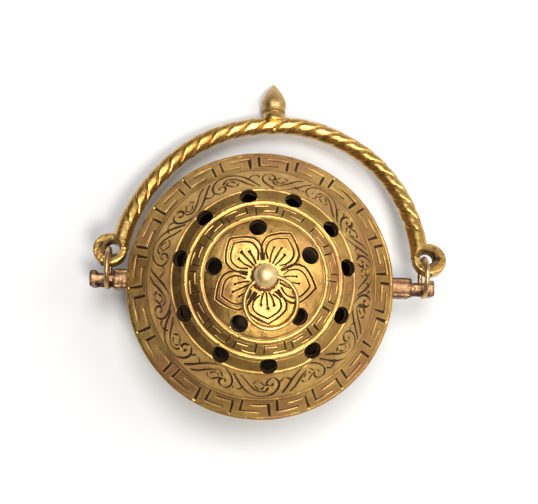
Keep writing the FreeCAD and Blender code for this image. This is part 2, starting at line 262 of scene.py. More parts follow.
# ---------------------------------------------------------------- materials
def nodes_for(name):
    material = bpy.data.materials.new(name)
    material.use_nodes = True
    tree = material.node_tree
    tree.nodes.clear()
    out = tree.nodes.new("ShaderNodeOutputMaterial")
    shader = tree.nodes.new("ShaderNodeBsdfPrincipled")
    tree.links.new(shader.outputs["BSDF"], out.inputs["Surface"])
    return material, tree, shader


def math_node(tree, operation, a, b=None, clamp=False):
    node = tree.nodes.new("ShaderNodeMath")
    node.operation = operation
    node.use_clamp = clamp
    for socket, value in zip(node.inputs, (a, b)):
        if value is None:
            continue
        if isinstance(value, (int, float)):
            socket.default_value = value
        else:
            tree.links.new(value, socket)
    return node.outputs[0]


def mix_colour(tree, factor, a, b):
    node = tree.nodes.new("ShaderNodeMix")
    node.data_type = "RGBA"
    pairs = ((node.inputs[0], factor), (node.inputs[6], a), (node.inputs[7], b))
    for socket, value in pairs:
        if isinstance(value, (int, float)):
            socket.default_value = value
        elif isinstance(value, tuple):
            socket.default_value = (*value, 1.0)
        else:
            tree.links.new(value, socket)
    return node.outputs[2]


def noise_node(tree, vector, per_mm, detail=4.0, roughness=0.55, distortion=0.0):
    node = tree.nodes.new("ShaderNodeTexNoise")
    node.inputs["Scale"].default_value = per_mm
    node.inputs["Detail"].default_value = detail
    node.inputs["Roughness"].default_value = roughness
    node.inputs["Distortion"].default_value = distortion
    tree.links.new(vector, node.inputs["Vector"])
    return node.outputs["Fac"]


def span(tree, value, low, high, to_low=0.0, to_high=1.0):
    node = tree.nodes.new("ShaderNodeMapRange")
    node.interpolation_type = "SMOOTHSTEP"
    for key, number in (("From Min", low), ("From Max", high), ("To Min", to_low), ("To Max", to_high)):
        node.inputs[key].default_value = number
    tree.links.new(value, node.inputs["Value"])
    return node.outputs["Result"]


def scaled(tree, vector, factors):
    node = tree.nodes.new("ShaderNodeMapping")
    node.inputs["Scale"].default_value = factors
    tree.links.new(vector, node.inputs["Vector"])
    return node.outputs["Vector"]


def metal(name, bright, warm, grime_and_shade, rough=0.3, stain=0.35, grain=1.0, scratch=0.5, metallic=1.0,
          copper=None):
    """Aged brass: two wandering tones, brown in the hollows (patina and dirt, plus painted shade where a
    piece's attributes carry it), lighter on worn edges (wear, plus painted highlight where a piece's
    attributes carry it), pits and fine scratches.
    """
    material, tree, shader = nodes_for(name)
    coords = tree.nodes.new("ShaderNodeTexCoord").outputs["Object"]
    mm = scaled(tree, coords, (1 / MM, 1 / MM, 1 / MM))
    flow_node = tree.nodes.new("ShaderNodeAttribute")
    flow_node.attribute_name = "flow"
    flow = flow_node.outputs["Vector"]
    dirt_and_shade_node = tree.nodes.new("ShaderNodeAttribute")
    dirt_and_shade_node.attribute_name = "grime_and_shade"
    wear_and_sheen_node = tree.nodes.new("ShaderNodeAttribute")
    wear_and_sheen_node.attribute_name = "wear_and_sheen"
    tone = span(tree, noise_node(tree, mm, 0.09, 5.0, 0.6, 0.4), 0.36, 0.64)
    colour = mix_colour(tree, tone, bright, warm)
    if copper:
        patch = span(tree, noise_node(tree, mm, 0.05, 3.0, 0.5), 0.48, 0.66, 0.0, copper[3])
        colour = mix_colour(tree, patch, colour, copper[:3])
    blotch = span(tree, noise_node(tree, mm, 0.32, 8.0, 0.68, 0.3), 0.5, 0.78, 0.0, stain)
    speck = span(tree, noise_node(tree, mm, 2.6, 3.0, 0.6), 0.62, 0.76, 0.0, 0.45 * stain)
    # the hollow colour laid from the per-vertex attribute: patina and dirt, plus painted shade in the lid's
    # ring ditches and smoke holes and at the lugs' roots and slots
    dirt_and_shade = math_node(tree, "MAXIMUM", dirt_and_shade_node.outputs["Fac"], blotch)
    dirt_and_shade = math_node(tree, "MAXIMUM", dirt_and_shade, speck)
    rubbed_and_sheen = math_node(tree, "MULTIPLY", wear_and_sheen_node.outputs["Fac"], 0.9)
    dirt_and_shade = math_node(tree, "SUBTRACT", dirt_and_shade, rubbed_and_sheen, clamp=True)
    colour = mix_colour(tree, dirt_and_shade, colour, grime_and_shade)
    # lighter where the per-vertex wear attribute is high: rubbed metal, plus painted highlight on the lid's
    # ring crests and groove edges and along the lugs' top ridge
    lift = math_node(tree, "MULTIPLY", wear_and_sheen_node.outputs["Fac"], 0.55, clamp=True)
    colour = mix_colour(tree, lift, colour, tuple(min(1.0, c * 1.22 + 0.04) for c in bright))
    tree.links.new(colour, shader.inputs["Base Color"])
    shader.inputs["Specular IOR Level"].default_value = 0.5
    shine = math_node(tree, "SUBTRACT", metallic, math_node(tree, "MULTIPLY", dirt_and_shade, 0.35), clamp=True)
    tree.links.new(shine, shader.inputs["Metallic"])
    uneven = span(tree, noise_node(tree, mm, 0.7, 6.0, 0.7), 0.3, 0.75, rough - 0.07, rough + 0.12)
    dulled = math_node(tree, "ADD", uneven, math_node(tree, "MULTIPLY", dirt_and_shade, 0.3))
    tree.links.new(math_node(tree, "MINIMUM", dulled, 0.9), shader.inputs["Roughness"])
    lines = noise_node(tree, scaled(tree, flow, (0.05, 3.2, 1.0)), 1.0, 5.0, 0.75)
    crossing = noise_node(tree, scaled(tree, mm, (4.2, 0.35, 0.35)), 1.0, 4.0, 0.7, 0.6)
    pits = noise_node(tree, mm, 1.5, 8.0, 0.7)
    relief = math_node(tree, "ADD", math_node(tree, "MULTIPLY", lines, scratch),
                       math_node(tree, "MULTIPLY", crossing, 0.5 * scratch))
    relief = math_node(tree, "ADD", relief, math_node(tree, "MULTIPLY", pits, grain))
    bump = tree.nodes.new("ShaderNodeBump")
    bump.inputs["Strength"].default_value = 0.55
    bump.inputs["Distance"].default_value = 0.08 * MM
    tree.links.new(relief, bump.inputs["Height"])
    tree.links.new(bump.outputs["Normal"], shader.inputs["Normal"])
    return material


# GROOVE: near-black brown of the lid's hollows, used for patina in the chased lines and for painted shade in
# the ring ditches and smoke holes
GROOVE = (0.035, 0.013, 0.004)
lid_metal = metal("aged_brass_lid", (0.60, 0.36, 0.10), (0.44, 0.24, 0.065), GROOVE, rough=0.32,
                  stain=0.45, grain=2.2, copper=(0.42, 0.19, 0.08, 0.65))
bail_metal = metal("handled_brass", (0.64, 0.40, 0.115), (0.51, 0.29, 0.075), GROOVE, rough=0.30, stain=0.30)
finial_metal = metal("satin_brass", (0.60, 0.40, 0.16), (0.50, 0.32, 0.12), (0.09, 0.045, 0.016), rough=0.42,
                     stain=0.2, grain=1.3)
knob_metal = metal("rubbed_brass", (0.84, 0.64, 0.32), (0.76, 0.53, 0.22), (0.12, 0.06, 0.02), rough=0.50,
                   stain=0.12, grain=0.8, scratch=0.3)
ring_metal = metal("dulled_ring_brass", (0.56, 0.36, 0.12), (0.44, 0.26, 0.08), (0.05, 0.024, 0.008),
                   rough=0.36, stain=0.35, grain=0.8, scratch=0.4)
lug_metal = metal("brown_cast_brass", (0.27, 0.155, 0.075), (0.18, 0.09, 0.042), (0.028, 0.012, 0.006),
                  rough=0.38, stain=0.5, grain=1.6)
link_metal = metal("browned_wire", (0.54, 0.36, 0.17), (0.38, 0.22, 0.09), (0.04, 0.018, 0.008), rough=0.30,
                   stain=0.4, grain=0.6)
bowl_metal = metal("dull_brass", (0.58, 0.36, 0.12), (0.44, 0.25, 0.08), (0.05, 0.022, 0.009), rough=0.38,
                   stain=0.45)
cup_metal = metal("sooted_brass", (0.30, 0.20, 0.11), (0.16, 0.10, 0.06), (0.018, 0.014, 0.012), rough=0.55,
                  stain=0.85, grain=1.8, metallic=0.8)
copper_metal = metal("copper_collar", (0.50, 0.23, 0.11), (0.36, 0.15, 0.07), (0.05, 0.02, 0.012), rough=0.36,
                     stain=0.4)
soot_metal = metal("sooted_lid_inside", (0.16, 0.10, 0.055), (0.08, 0.05, 0.03), (0.010, 0.008, 0.007),
                   rough=0.6, stain=0.9, grain=1.8, metallic=0.6)


# ---------------------------------------------------------------- lid: profile, and what is cut in it
EDGE_FOOT = (46.6, 0.05)
lid_outline = [EDGE_FOOT, (LID_EDGE_R - 0.25, 0.05), (LID_EDGE_R, 0.35), (LID_EDGE_R, 1.0), (49.75, 1.35),
               (49.3, 1.7), (STEP_R[0], STEP_H[0])] + list(zip(STEP_R[1:4], STEP_H[1:4]))
crown_line = [(r, CROWN_H - (CROWN_H - STEP_H[-1]) * (r / STEP_R[-1]) ** 2)
              for r in np.linspace(STEP_R[-1], 4.4, 24)]
lid_line = refined(lid_outline + crown_line, 0.05)
lid_run = np.concatenate([[0], np.cumsum(np.linalg.norm(np.diff(lid_line, axis=0), axis=1))])


def run_at(radius, height):
    """How far along the lid's outline, from its foot inwards, a point of it lies."""
    return lid_run[np.argmin(np.hypot(lid_line[:, 0] - radius, lid_line[:, 1] - height))]


def lid_at(run):
    """Radius, height and the (radial, upward) normal, softened across the steps, at a distance along."""
    r = np.interp(run, lid_run, lid_line[:, 0])
    h = np.interp(run, lid_run, lid_line[:, 1])
    reach = 0.35
    dr = np.interp(run + reach, lid_run, lid_line[:, 0]) - np.interp(run - reach, lid_run, lid_line[:, 0])
    dh = np.interp(run + reach, lid_run, lid_line[:, 1]) - np.interp(run - reach, lid_run, lid_line[:, 1])
    size = np.hypot(dr, dh)
    return r, h, dh / size, -dr / size


RUN_LIP = run_at(49.3, 1.7)
RUN_1, RUN_2, RUN_3 = (run_at(STEP_R[i], STEP_H[i]) for i in (1, 2, 3))
RUN_4 = run_at(*crown_line[0])
RUN_END = lid_run[-1]


class Strokes:
    """Chased lines on a grid of (azimuth, run) points: keeps each point's distance to the nearest one."""

    def __init__(self, azimuth, run, radius):
        self.azimuth, self.run, self.radius = azimuth, run, radius
        self.gap = np.full((len(run), len(azimuth)), 9.0)

    def line(self, points, reach=1.2, bold=1.0):
        """points are (azimuth in degrees, run in mm) along the stroke; bold widens it."""
        for (a0, t0), (a1, t1) in zip(points, points[1:]):
            rows = np.where((self.run > min(t0, t1) - reach) & (self.run < max(t0, t1) + reach))[0]
            if not len(rows):
                continue
            near_r = self.radius[rows].mean()
            pad = math.degrees(reach / near_r)
            middle, half = (a0 + a1) / 2, abs(a1 - a0) / 2 + pad
            turn = (self.azimuth - middle + 180) % 360 - 180
            cols = np.where(np.abs(turn) < half)[0]
            if not len(cols):
                continue
            along = np.radians(turn[cols])[None, :] * self.radius[rows][:, None]
            up = np.broadcast_to(self.run[rows][:, None], along.shape)
            ax = math.radians(a0 - middle) * near_r
            bx = math.radians(a1 - middle) * near_r
            dx, dy = bx - ax, t1 - t0
            share = np.clip(((along - ax) * dx + (up - t0) * dy) / max(dx * dx + dy * dy, 1e-9), 0, 1)
            gap = np.hypot(along - ax - share * dx, up - t0 - share * dy) / bold
            block = np.ix_(rows, cols)
            self.gap[block] = np.minimum(self.gap[block], gap)


class PlaneStrokes(Strokes):
    """Chased lines on the crown plate, given as (x, y) in mm across it."""

    def line(self, points, reach=1.2, bold=1.0):
        turn = np.radians(self.azimuth)[None, :]
        x, y = self.radius[:, None] * np.cos(turn), self.radius[:, None] * np.sin(turn)
        for (ax, ay), (bx, by) in zip(points, points[1:]):
            near = (np.abs(x - (ax + bx) / 2) < abs(bx - ax) / 2 + reach)
            near &= (np.abs(y - (ay + by) / 2) < abs(by - ay) / 2 + reach)
            dx, dy = bx - ax, by - ay
            px, py = x[near] - ax, y[near] - ay
            share = np.clip((px * dx + py * dy) / max(dx * dx + dy * dy, 1e-9), 0, 1)
            gap = np.hypot(px - share * dx, py - share * dy) / bold
            self.gap[near] = np.minimum(self.gap[near], gap)


def groove(gap, width, depth):
    """Cut depth, the burr at its edges, and the dirt in it, from the distance to a chased line."""
    half = width / 2
    cut = -depth * smooth01(1.15 - gap / half)
    burr = 0.16 * depth * np.exp(-((gap - 1.25 * half) / (0.35 * half)) ** 2)
    return cut + burr, smooth01(1.35 - gap / half)


def ridge_lines(run):
    """Height of the raised rings that part the bands, painted shade in the ditch beside each, and wear with a
    painted highlight on their crests.
    """
    height = np.zeros_like(run)
    dirt_and_shade = np.zeros_like(run)
    wear_and_sheen = np.zeros_like(run)
    for at, size in ((RUN_1, 0.30), (RUN_2, 0.30), (RUN_3, 0.58), (RUN_4, 0.58)):
        gap = np.abs(run - at)
        bead = size * np.sqrt(np.clip(1 - (gap / (size * 1.35)) ** 2, 0, 1))
        ditch = np.exp(-((gap - size * 1.75) / (0.30 + 0.12 * size)) ** 2)
        height += bead - 0.22 * size * ditch
        # painted shade: the ditch on the inner side of each ring is darkened where the ring's own shade falls
        dirt_and_shade = np.maximum(dirt_and_shade, 0.75 * ditch)
        # the ring crests are lightened: rubbed wear, plus a painted highlight of the bright ridge line
        wear_and_sheen = np.maximum(wear_and_sheen, smooth01(1.1 - gap / size))
    return height, dirt_and_shade, wear_and_sheen


KEY_TICKS = (6.5, 24, 42.5, 61.3, 79, 97, 114.5, 132.5, 150.5, 169,
             188, 208, 228, 246, 262, 279, 297, 314, 332, 349)
VINE_TROUGHS = (31, 82, 137, 192, 245, 298, 346)
VINE_CRESTS = (8, 56, 110, 163, 217, 271, 323)
VINE_STEM = ((-17, .82), (-14.5, .67), (-11.5, .47), (-8, .28), (-4, .15), (.5, .10), (5, .15), (8.3, .30),
             (10, .48), (9.8, .64), (8, .76), (5.6, .78), (3.6, .70), (3, .60), (4, .51), (5.8, .50),
             (6.5, .57))
VINE_INNER = ((-13, .82), (-9.5, .68), (-6.5, .50), (-3.5, .36), (0, .27), (2.5, .32), (3.6, .42))
VINE_CURL = ((-4.6, .58), (-3.4, .66), (-1, .67), (1.2, .56), (2.8, .50), (4, .51))
VINE_BERRY = ((-3.2, .50), (-1.6, .40), (.4, .38), (1.4, .46))
VINE_CAP = ((10.8, .62), (12.5, .71), (15, .69), (17, .58))
INNER_KEY_START, INNER_KEY_STEP, INNER_KEYS = 57.5, 23.75, 15


def key_band(strokes):
    """The outer band of interlocked hooks."""
    rng = np.random.default_rng(11)
    span_mm = RUN_1 - run_at(LID_EDGE_R, 1.0)

    def place(share):
        return RUN_1 - share * span_mm

    for i, start in enumerate(KEY_TICKS):
        step = (KEY_TICKS[(i + 1) % len(KEY_TICKS)] - start) % 360
        low, high = 0.11 + rng.normal(0, 0.012), 0.64 + rng.normal(0, 0.014)
        hook = 0.25 + 0.05 * math.cos(math.radians(start + 20)) + rng.normal(0, 0.012)
        top = 0.82 + rng.normal(0, 0.01)
        tick = start + 0.76 * step + rng.normal(0, 0.15)
        lean = rng.normal(0, 0.25)
        strokes.line([(start + lean, place(low)), (start, place(high))])
        strokes.line([(start, place(high)), (start + 0.5 * step, place(high - 0.02))], bold=0.92)
        strokes.line([(tick + lean, place(top)), (tick, place(hook))])
        strokes.line([(tick, place(hook)), (tick - 0.47 * step, place(hook + 0.01))], bold=0.92)


def vine_band(strokes):
    """The band of running scrolls: each half wave ends in a curl, alternately up and down."""
    rng = np.random.default_rng(23)
    span_mm = RUN_2 - RUN_1
    for centres, flip in ((VINE_TROUGHS, False), (VINE_CRESTS, True)):
        for i, centre in enumerate(centres):
            step = (centres[(i + 1) % 7] - centres[i - 1]) % 360 / 2
            wide = step / 54
            for shape, bold in ((VINE_STEM, 1.0), (VINE_INNER, 0.9), (VINE_CURL, 0.85), (VINE_BERRY, 0.8),
                                (VINE_CAP, 0.85)):
                line = []
                for da, v in curve_through(shape, 5):
                    v = 1 - v if flip else v
                    line.append((centre + da * wide, RUN_2 - span_mm * v))
                shift = rng.normal(0, 0.25)
                strokes.line([(a + shift, t) for a, t in line], bold=bold)


def inner_key_band(strokes):
    """The worn hooks between the two beads."""
    rng = np.random.default_rng(37)
    span_mm = RUN_4 - RUN_3

    def place(share):
        return RUN_4 - share * span_mm

    for i in range(INNER_KEYS):
        start = INNER_KEY_START + INNER_KEY_STEP * i + rng.normal(0, 0.5)
        worn = rng.uniform(0.65, 1.0)
        strokes.line([(start, place(0.72)), (start + 0.3, place(0.34))], bold=worn)
        strokes.line([(start, place(0.34)), (start + 10.5, place(0.32))], bold=0.75 * worn)
        strokes.line([(start + 17.3, place(0.66)), (start + 17.6, place(0.20))], bold=worn)
        strokes.line([(start + 17.3, place(0.68)), (start + 7.5, place(0.66))], bold=0.7 * worn)


PETALS = (61.3, 132.8, 204.9, 276.4, 351.0)
PETAL_OUTER = ((5.4, 3.4), (7.6, 5.6), (9.95, 6.7), (12, 6.7), (13.5, 6.2), (16.1, 3.6), (18.4, 0.0))
PETAL_INNER = ((6.3, 2.4), (8, 4.1), (9.7, 4.8), (12, 4.8), (14.2, 3.2), (16.2, 0.0))
STAMENS = ((10.9, 2.5), (12.1, 0.2), (10.4, -2.0))
SHORT_PETAL, SHORTENED = 276.4, 0.82


def lotus(strokes):
    """Five pointed petals round the knob, each doubled inside and with three stamens."""
    def on_plate(turn, along, across):
        x = along * math.cos(turn) - across * math.sin(turn)
        y = along * math.sin(turn) + across * math.cos(turn)
        return x, y

    def draw(turn, outline, squeeze, bold):
        line = [(5 + (t - 5) * squeeze, w) for t, w in curve_through(outline, 5)]
        strokes.line([on_plate(turn, t, w) for t, w in line], bold=bold)

    rng = np.random.default_rng(5)
    for petal in PETALS:
        turn = math.radians(petal)
        squeeze = SHORTENED if petal == SHORT_PETAL else 1.0
        for side in (-1, 1):
            draw(turn, [(t, w * side) for t, w in PETAL_OUTER], squeeze, 1.0)
            draw(turn, [(t, w * side) for t, w in PETAL_INNER], squeeze, 0.85)
        for t, w in STAMENS:
            tip = 5 + (t - 5) * squeeze
            draw(turn, [(5.6, w * 0.45), (0.5 * (5.6 + t), w * 0.85), (t, w)], squeeze, 0.75)
            spot = on_plate(turn, tip, w)
            strokes.line([spot, (spot[0] + 0.05, spot[1] + 0.05)], bold=1.4)
        for side in (-1, 1):
            for k in range(3):
                edge = side * (4.6 + 0.55 * k)
                draw(turn, [(5.4, edge * 0.8), (6.6 + 0.5 * rng.random(), edge)], 1.0, 0.6)


def hole_places(azimuths, radius):
    """Middle and normal of each smoke hole in a ring of them, in the row frame."""
    run = float(np.interp(-radius, -lid_line[:, 0], lid_run))
    r, h, nr, nz = (float(v[0]) for v in lid_at(np.array([run])))
    places = []
    for azimuth in azimuths:
        c, s = math.cos(math.radians(azimuth)), math.sin(math.radians(azimuth))
        places.append((LID_AXIS + np.array([r * c, r * s, h]), np.array([nr * c, nr * s, nz])))
    return places


HOLES = hole_places(OUTER_HOLES, OUTER_HOLE_R) + hole_places(INNER_HOLES, INNER_HOLE_R)


def hole_gap(points):
    """Distance of points in the row frame from the nearest smoke hole's axis, and that hole's number."""
    best = np.full(len(points), 99.0)
    which = np.zeros(len(points), int)
    for number, (middle, normal) in enumerate(HOLES):
        rel = points - middle
        along = rel @ normal
        gap = np.linalg.norm(rel - along[:, None] * normal, axis=1)
        gap[np.abs(along) > 4] = 99.0
        closer = gap < best
        best[closer], which[closer] = gap[closer], number
    return best, which


def lid_band(name, run0, run1, rows, cols, cutter, width, depth):
    """One band of the lid as a dense grid, with its chased pattern, ridges, dents and holes."""
    azimuth = np.arange(cols) * 360.0 / cols
    run = np.linspace(run0, run1, rows)
    r, h, nr, nz = lid_at(run)
    strokes = PlaneStrokes(azimuth, run, r) if cutter is lotus else Strokes(azimuth, run, r)
    if cutter:
        cutter(strokes)
    turn = np.radians(azimuth)
    base = np.stack([r[:, None] * np.cos(turn), r[:, None] * np.sin(turn), h[:, None] + 0 * turn], -1)
    normal = np.stack([nr[:, None] * np.cos(turn), nr[:, None] * np.sin(turn), nz[:, None] + 0 * turn], -1)
    base, normal = base.reshape(-1, 3), normal.reshape(-1, 3)
    uneven = 1 + 0.22 * ripple(base, 9.0, 71)
    gap = strokes.gap.ravel() / np.clip(uneven, 0.6, 1.5)
    cut, dirt_and_shade = groove(gap, width, depth)
    rise, ditch, rubbed_and_sheen = (np.repeat(v, cols) for v in ridge_lines(run))
    nicks = 1 - 0.35 * smooth01(ripple(base, 2.2, 5) - 0.6)
    lip = np.repeat(smooth01(1 - np.abs(run - RUN_LIP) / 0.9), cols)
    lift = cut * np.clip(1 + 0.3 * ripple(base, 14.0, 9), 0.5, 1.4) + rise * nicks
    lift += 0.045 * ripple(base, 16.0, 3) + 0.020 * ripple(base, 3.5, 4)
    lift -= 0.10 * lip * smooth01(ripple(base, 5, 8))
    points = LID_AXIS + base + normal * lift[:, None]
    points[:, 2] = np.maximum(points[:, 2], LID_AXIS[2] + 0.02)
    # painted shade along the ditch beside each raised ring
    dirt_and_shade = np.maximum(dirt_and_shade, ditch * np.clip(0.75 + 0.35 * ripple(base, 8.0, 15), 0, 1))
    # ring crests lightened (wear and painted highlight); the rim lip is rubbed lighter
    wear_and_sheen = np.maximum(rubbed_and_sheen * 0.9, lip * 0.7)
    # a thin bright line on each side of every chased groove: rubbed burr edge plus painted highlight
    wear_and_sheen = np.maximum(wear_and_sheen, 1.0 * np.exp(-((gap - 0.66 * width) / (0.15 * width)) ** 2))
    wear_and_sheen *= np.clip(0.65 + 0.5 * ripple(base, 7.0, 21), 0.1, 1)
    flow = np.stack([np.radians(np.tile(azimuth, rows)) * np.repeat(r, cols), np.repeat(run, cols),
                     np.zeros(rows * cols)], -1)
    near, which = hole_gap(points)
    faces = grid_faces(rows, cols)
    middle_gap = near[faces].mean(axis=1)
    faces = faces[middle_gap > SMOKE_HOLE_R]
    edge = smooth01(1 - np.abs(near - SMOKE_HOLE_R - 0.25) / 0.45)
    # painted shade: the metal right at each smoke hole's edge is darkened
    dirt_and_shade = np.maximum(dirt_and_shade, 0.8 * smooth01(1 - (near - SMOKE_HOLE_R) / 0.35))
    wear_and_sheen = np.maximum(wear_and_sheen * (1 - smooth01(1 - (near - SMOKE_HOLE_R) / 0.3)), 0.35 * edge)
    used = np.zeros(len(points), bool)
    used[faces.ravel()] = True
    number = np.cumsum(used) - 1
    faces = number[faces]
    obj = make_mesh(name, points[used], faces,
                    {"grime_and_shade": dirt_and_shade[used], "wear_and_sheen": wear_and_sheen[used], "flow": flow[used]})
    if middle_gap.min() < SMOKE_HOLE_R:
        drill(obj, used, near, which)
    return obj


def drill(obj, used, near, which):
    """Rounds the ragged edge of each smoke hole and walls it down through the metal, the walls coloured
    almost black as painted shade.
    """
    hole_of = which[used]
    gap_of = near[used]
    bm = bmesh.new()
    bm.from_mesh(obj.data)
    bm.verts.ensure_lookup_table()
    dirt_and_shade_layer = bm.verts.layers.float["grime_and_shade"]
    wear_and_sheen_layer = bm.verts.layers.float["wear_and_sheen"]
    rim = [e for e in bm.edges
           if e.is_boundary and all(gap_of[v.index] < SMOKE_HOLE_R + 0.6 for v in e.verts)]
    owner = {v: hole_of[v.index] for e in rim for v in e.verts}

    def fit(verts, radius, sink):
        for vert in verts:
            middle, normal = HOLES[owner[vert]]
            rel = np.array(vert.co) / MM - middle
            along = rel @ normal
            flat = rel - along * normal
            flat *= radius / max(np.linalg.norm(flat), 1e-6)
            vert.co = Vector((middle + flat + (along - sink) * normal) * MM)

    fit(owner, SMOKE_HOLE_R + 0.16, 0.0)
    for sink in (HOLE_LIP, LID_WALL):
        made = bmesh.ops.extrude_edge_only(bm, edges=rim)["geom"]
        fresh = [g for g in made if isinstance(g, bmesh.types.BMVert)]
        rim = [g for g in made if isinstance(g, bmesh.types.BMEdge)]
        for vert in fresh:
            at = np.array(vert.co) / MM
            owner[vert] = min(range(len(HOLES)), key=lambda k: np.linalg.norm(at - HOLES[k][0]))
            # painted shade: the hole walls are set almost fully to the dark hollow colour
            vert[dirt_and_shade_layer] = 0.97
            vert[wear_and_sheen_layer] = 0.0
        fit(fresh, SMOKE_HOLE_R, sink)
    bm.to_mesh(obj.data)
    bm.free()
    obj.data.update()
    obj.data.shade_smooth()


BAND_COLS, CROWN_COLS = 1400, 900
SEAM_1 = RUN_1 + 0.9
SEAM_2 = RUN_2 - 1.4
SEAM_3 = RUN_3 + 1.7
SEAM_4 = RUN_4 + 1.5
rim_piece = lid_band("lid_key_band", 0.0, SEAM_1, 74, BAND_COLS, key_band, 1.15, 0.50)
vine_piece = lid_band("lid_vine_band", SEAM_1, SEAM_2, 66, BAND_COLS, vine_band, 1.0, 0.46)
hole_piece = lid_band("lid_hole_band", SEAM_2, SEAM_3, 44, BAND_COLS, None, 0.5, 0.2)
inner_piece = lid_band("lid_inner_key", SEAM_3, SEAM_4, 34, BAND_COLS, inner_key_band, 0.92, 0.36)
crown_piece = lid_band("lid_crown_plate", SEAM_4, RUN_END, 100, CROWN_COLS, lotus, 0.74, 0.34)
for piece in (rim_piece, vine_piece, hole_piece, inner_piece, crown_piece):
    finished(piece, "lid", "lid_brass", lid_metal)
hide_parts("lid")


# ---------------------------------------------------------------- lid: underside, skirt, washer and nut
def plain_attributes(obj, grime_size=7.0, grime_amount=0.35, wear_amount=0.2, seed=1, flow_turn=None):
    """Stores even grime, wear and grain direction on a piece that has no pattern of its own."""
    points = points_of(obj)
    grime_and_shade = grime_amount * smooth01(0.5 + 0.5 * ripple(points, grime_size, seed))
    wear_and_sheen = wear_amount * smooth01(0.5 + 0.6 * ripple(points, grime_size * 0.8, seed + 1))
    store(obj.data, "grime_and_shade", grime_and_shade)
    store(obj.data, "wear_and_sheen", wear_and_sheen)
    if flow_turn is None:
        flow = points
    else:
        rel = points - np.asarray(flow_turn, float)
        flow = np.stack([np.arctan2(rel[:, 1], rel[:, 0]) * 30, np.hypot(rel[:, 0], rel[:, 1]) + rel[:, 2],
                         np.zeros(len(rel))], -1)
    store(obj.data, "flow", flow)
    return points


def dent(obj, size, amount, seed):
    """Moves the surface in and out a little, as casting and handling leave it."""
    points, normals = points_of(obj), normals_of(obj)
    set_points(obj, points + normals * (amount * ripple(points, size, seed))[:, None])


inner_line = [EDGE_FOOT, (46.2, 0.5)]
inner_line += [(r - 1.4, h - 1.4) for r, h in zip(STEP_R[1:4], STEP_H[1:4])]
inner_line += [(r, CROWN_H - 1.8 - (CROWN_H - STEP_H[-1]) * (r / STEP_R[-1]) ** 2)
               for r in np.linspace(STEP_R[-1] - 0.8, 1.6, 12)]
inside_line = refined(rounded(inner_line, 0.6, 2), 0.7)
inside_piece = lathe("lid_underside", inside_line, 360, LID_AXIS, close=False)
inside_points = points_of(inside_piece)
inside_gap = hole_gap(inside_points)[0]
inside_faces = grid_faces(len(inside_line), 360)[:, ::-1]
inside_faces = inside_faces[inside_gap[inside_faces].mean(axis=1) > SMOKE_HOLE_R - 0.2]
bpy.data.objects.remove(inside_piece)
inside_piece = make_mesh("lid_underside", inside_points, inside_faces.copy())
plain_attributes(inside_piece, 9.0, 0.8, 0.1, 31, LID_AXIS)
dent(inside_piece, 6.0, 0.06, 33)
finished(inside_piece, "lid", "lid_brass", soot_metal)

SKIRT_R, SKIRT_WALL, SKIRT_DEPTH, SKIRT_TOP = 43.5, 1.4, 3.6, 5.2
skirt_line = rounded([(SKIRT_R - 0.7, -SKIRT_DEPTH), (SKIRT_R, -SKIRT_DEPTH), (SKIRT_R, SKIRT_TOP),
                      (SKIRT_R - 0.7, SKIRT_TOP + 0.6), (SKIRT_R - SKIRT_WALL, SKIRT_TOP + 0.6),
                      (SKIRT_R - SKIRT_WALL, -SKIRT_DEPTH), (SKIRT_R - 0.71, -SKIRT_DEPTH)], 0.3, 3)
skirt = lathe("lid_skirt_ring", refined(skirt_line, 0.5), 240, LID_AXIS)
plain_attributes(skirt, 6.0, 0.55, 0.3, 41, LID_AXIS)
finished(skirt, "lid", "bowl_brass", bowl_metal, "lid_skirt")

NUT_TOP, WASHER_R, WASHER_T, NUT_R, NUT_T, SHANK_R = 28.6, 4.6, 0.9, 3.4, 2.5, 1.5
washer_line = rounded([(SHANK_R + 0.05, NUT_TOP + 0.45), (SHANK_R + 0.05, NUT_TOP), (WASHER_R, NUT_TOP),
                       (WASHER_R, NUT_TOP + WASHER_T), (SHANK_R + 0.05, NUT_TOP + WASHER_T),
                       (SHANK_R + 0.05, NUT_TOP + 0.44)], 0.2, 3)
washer = lathe("knob_washer_disc", refined(washer_line, 0.3), 96, LID_AXIS)
plain_attributes(washer, 3.0, 0.5, 0.25, 43, LID_AXIS)
finished(washer, "lid", "bowl_brass", bowl_metal, "knob_washer")


def hexagon_nut():
    """A hexagon nut with its corners turned off."""
    bm = bmesh.new()
    bmesh.ops.create_cone(bm, cap_ends=True, segments=6, radius1=NUT_R * MM, radius2=NUT_R * MM,
                          depth=NUT_T * MM)
    bmesh.ops.rotate(bm, verts=bm.verts, cent=(0, 0, 0), matrix=Matrix.Rotation(math.radians(30), 3, "Z"))
    mesh = bpy.data.meshes.new("knob_nut_hex")
    bm.to_mesh(mesh)
    bm.free()
    obj = bpy.data.objects.new("knob_nut_hex", mesh)
    bpy.context.scene.collection.objects.link(obj)
    turning = [(0.01, -NUT_T / 2), (NUT_R - 0.5, -NUT_T / 2), (NUT_R + 0.02, -0.75),
               (NUT_R + 0.02, 0.75), (NUT_R - 0.5, NUT_T / 2), (0.01, NUT_T / 2)]
    chamfer = lathe("nut_turning", refined(turning, 0.4), 96)
    step = obj.modifiers.new("turn", "BOOLEAN")
    step.operation = "INTERSECT"
    step.solver = "EXACT"
    step.object = chamfer
    bevel = obj.modifiers.new("soften", "BEVEL")
    bevel.width = 0.12 * MM
    bevel.segments = 2
    bevel.limit_method = "ANGLE"
    bevel.angle_limit = math.radians(25)
    applied(obj)
    bpy.data.objects.remove(chamfer)
    obj.data.transform(Matrix.Translation(Vector((LID_AXIS + [0, 0, NUT_TOP - NUT_T / 2]) * MM)))
    return obj


nut = hexagon_nut()
plain_attributes(nut, 3.0, 0.5, 0.3, 45, LID_AXIS)
finished(nut, "lid", "bowl_brass", bowl_metal, "knob_nut")


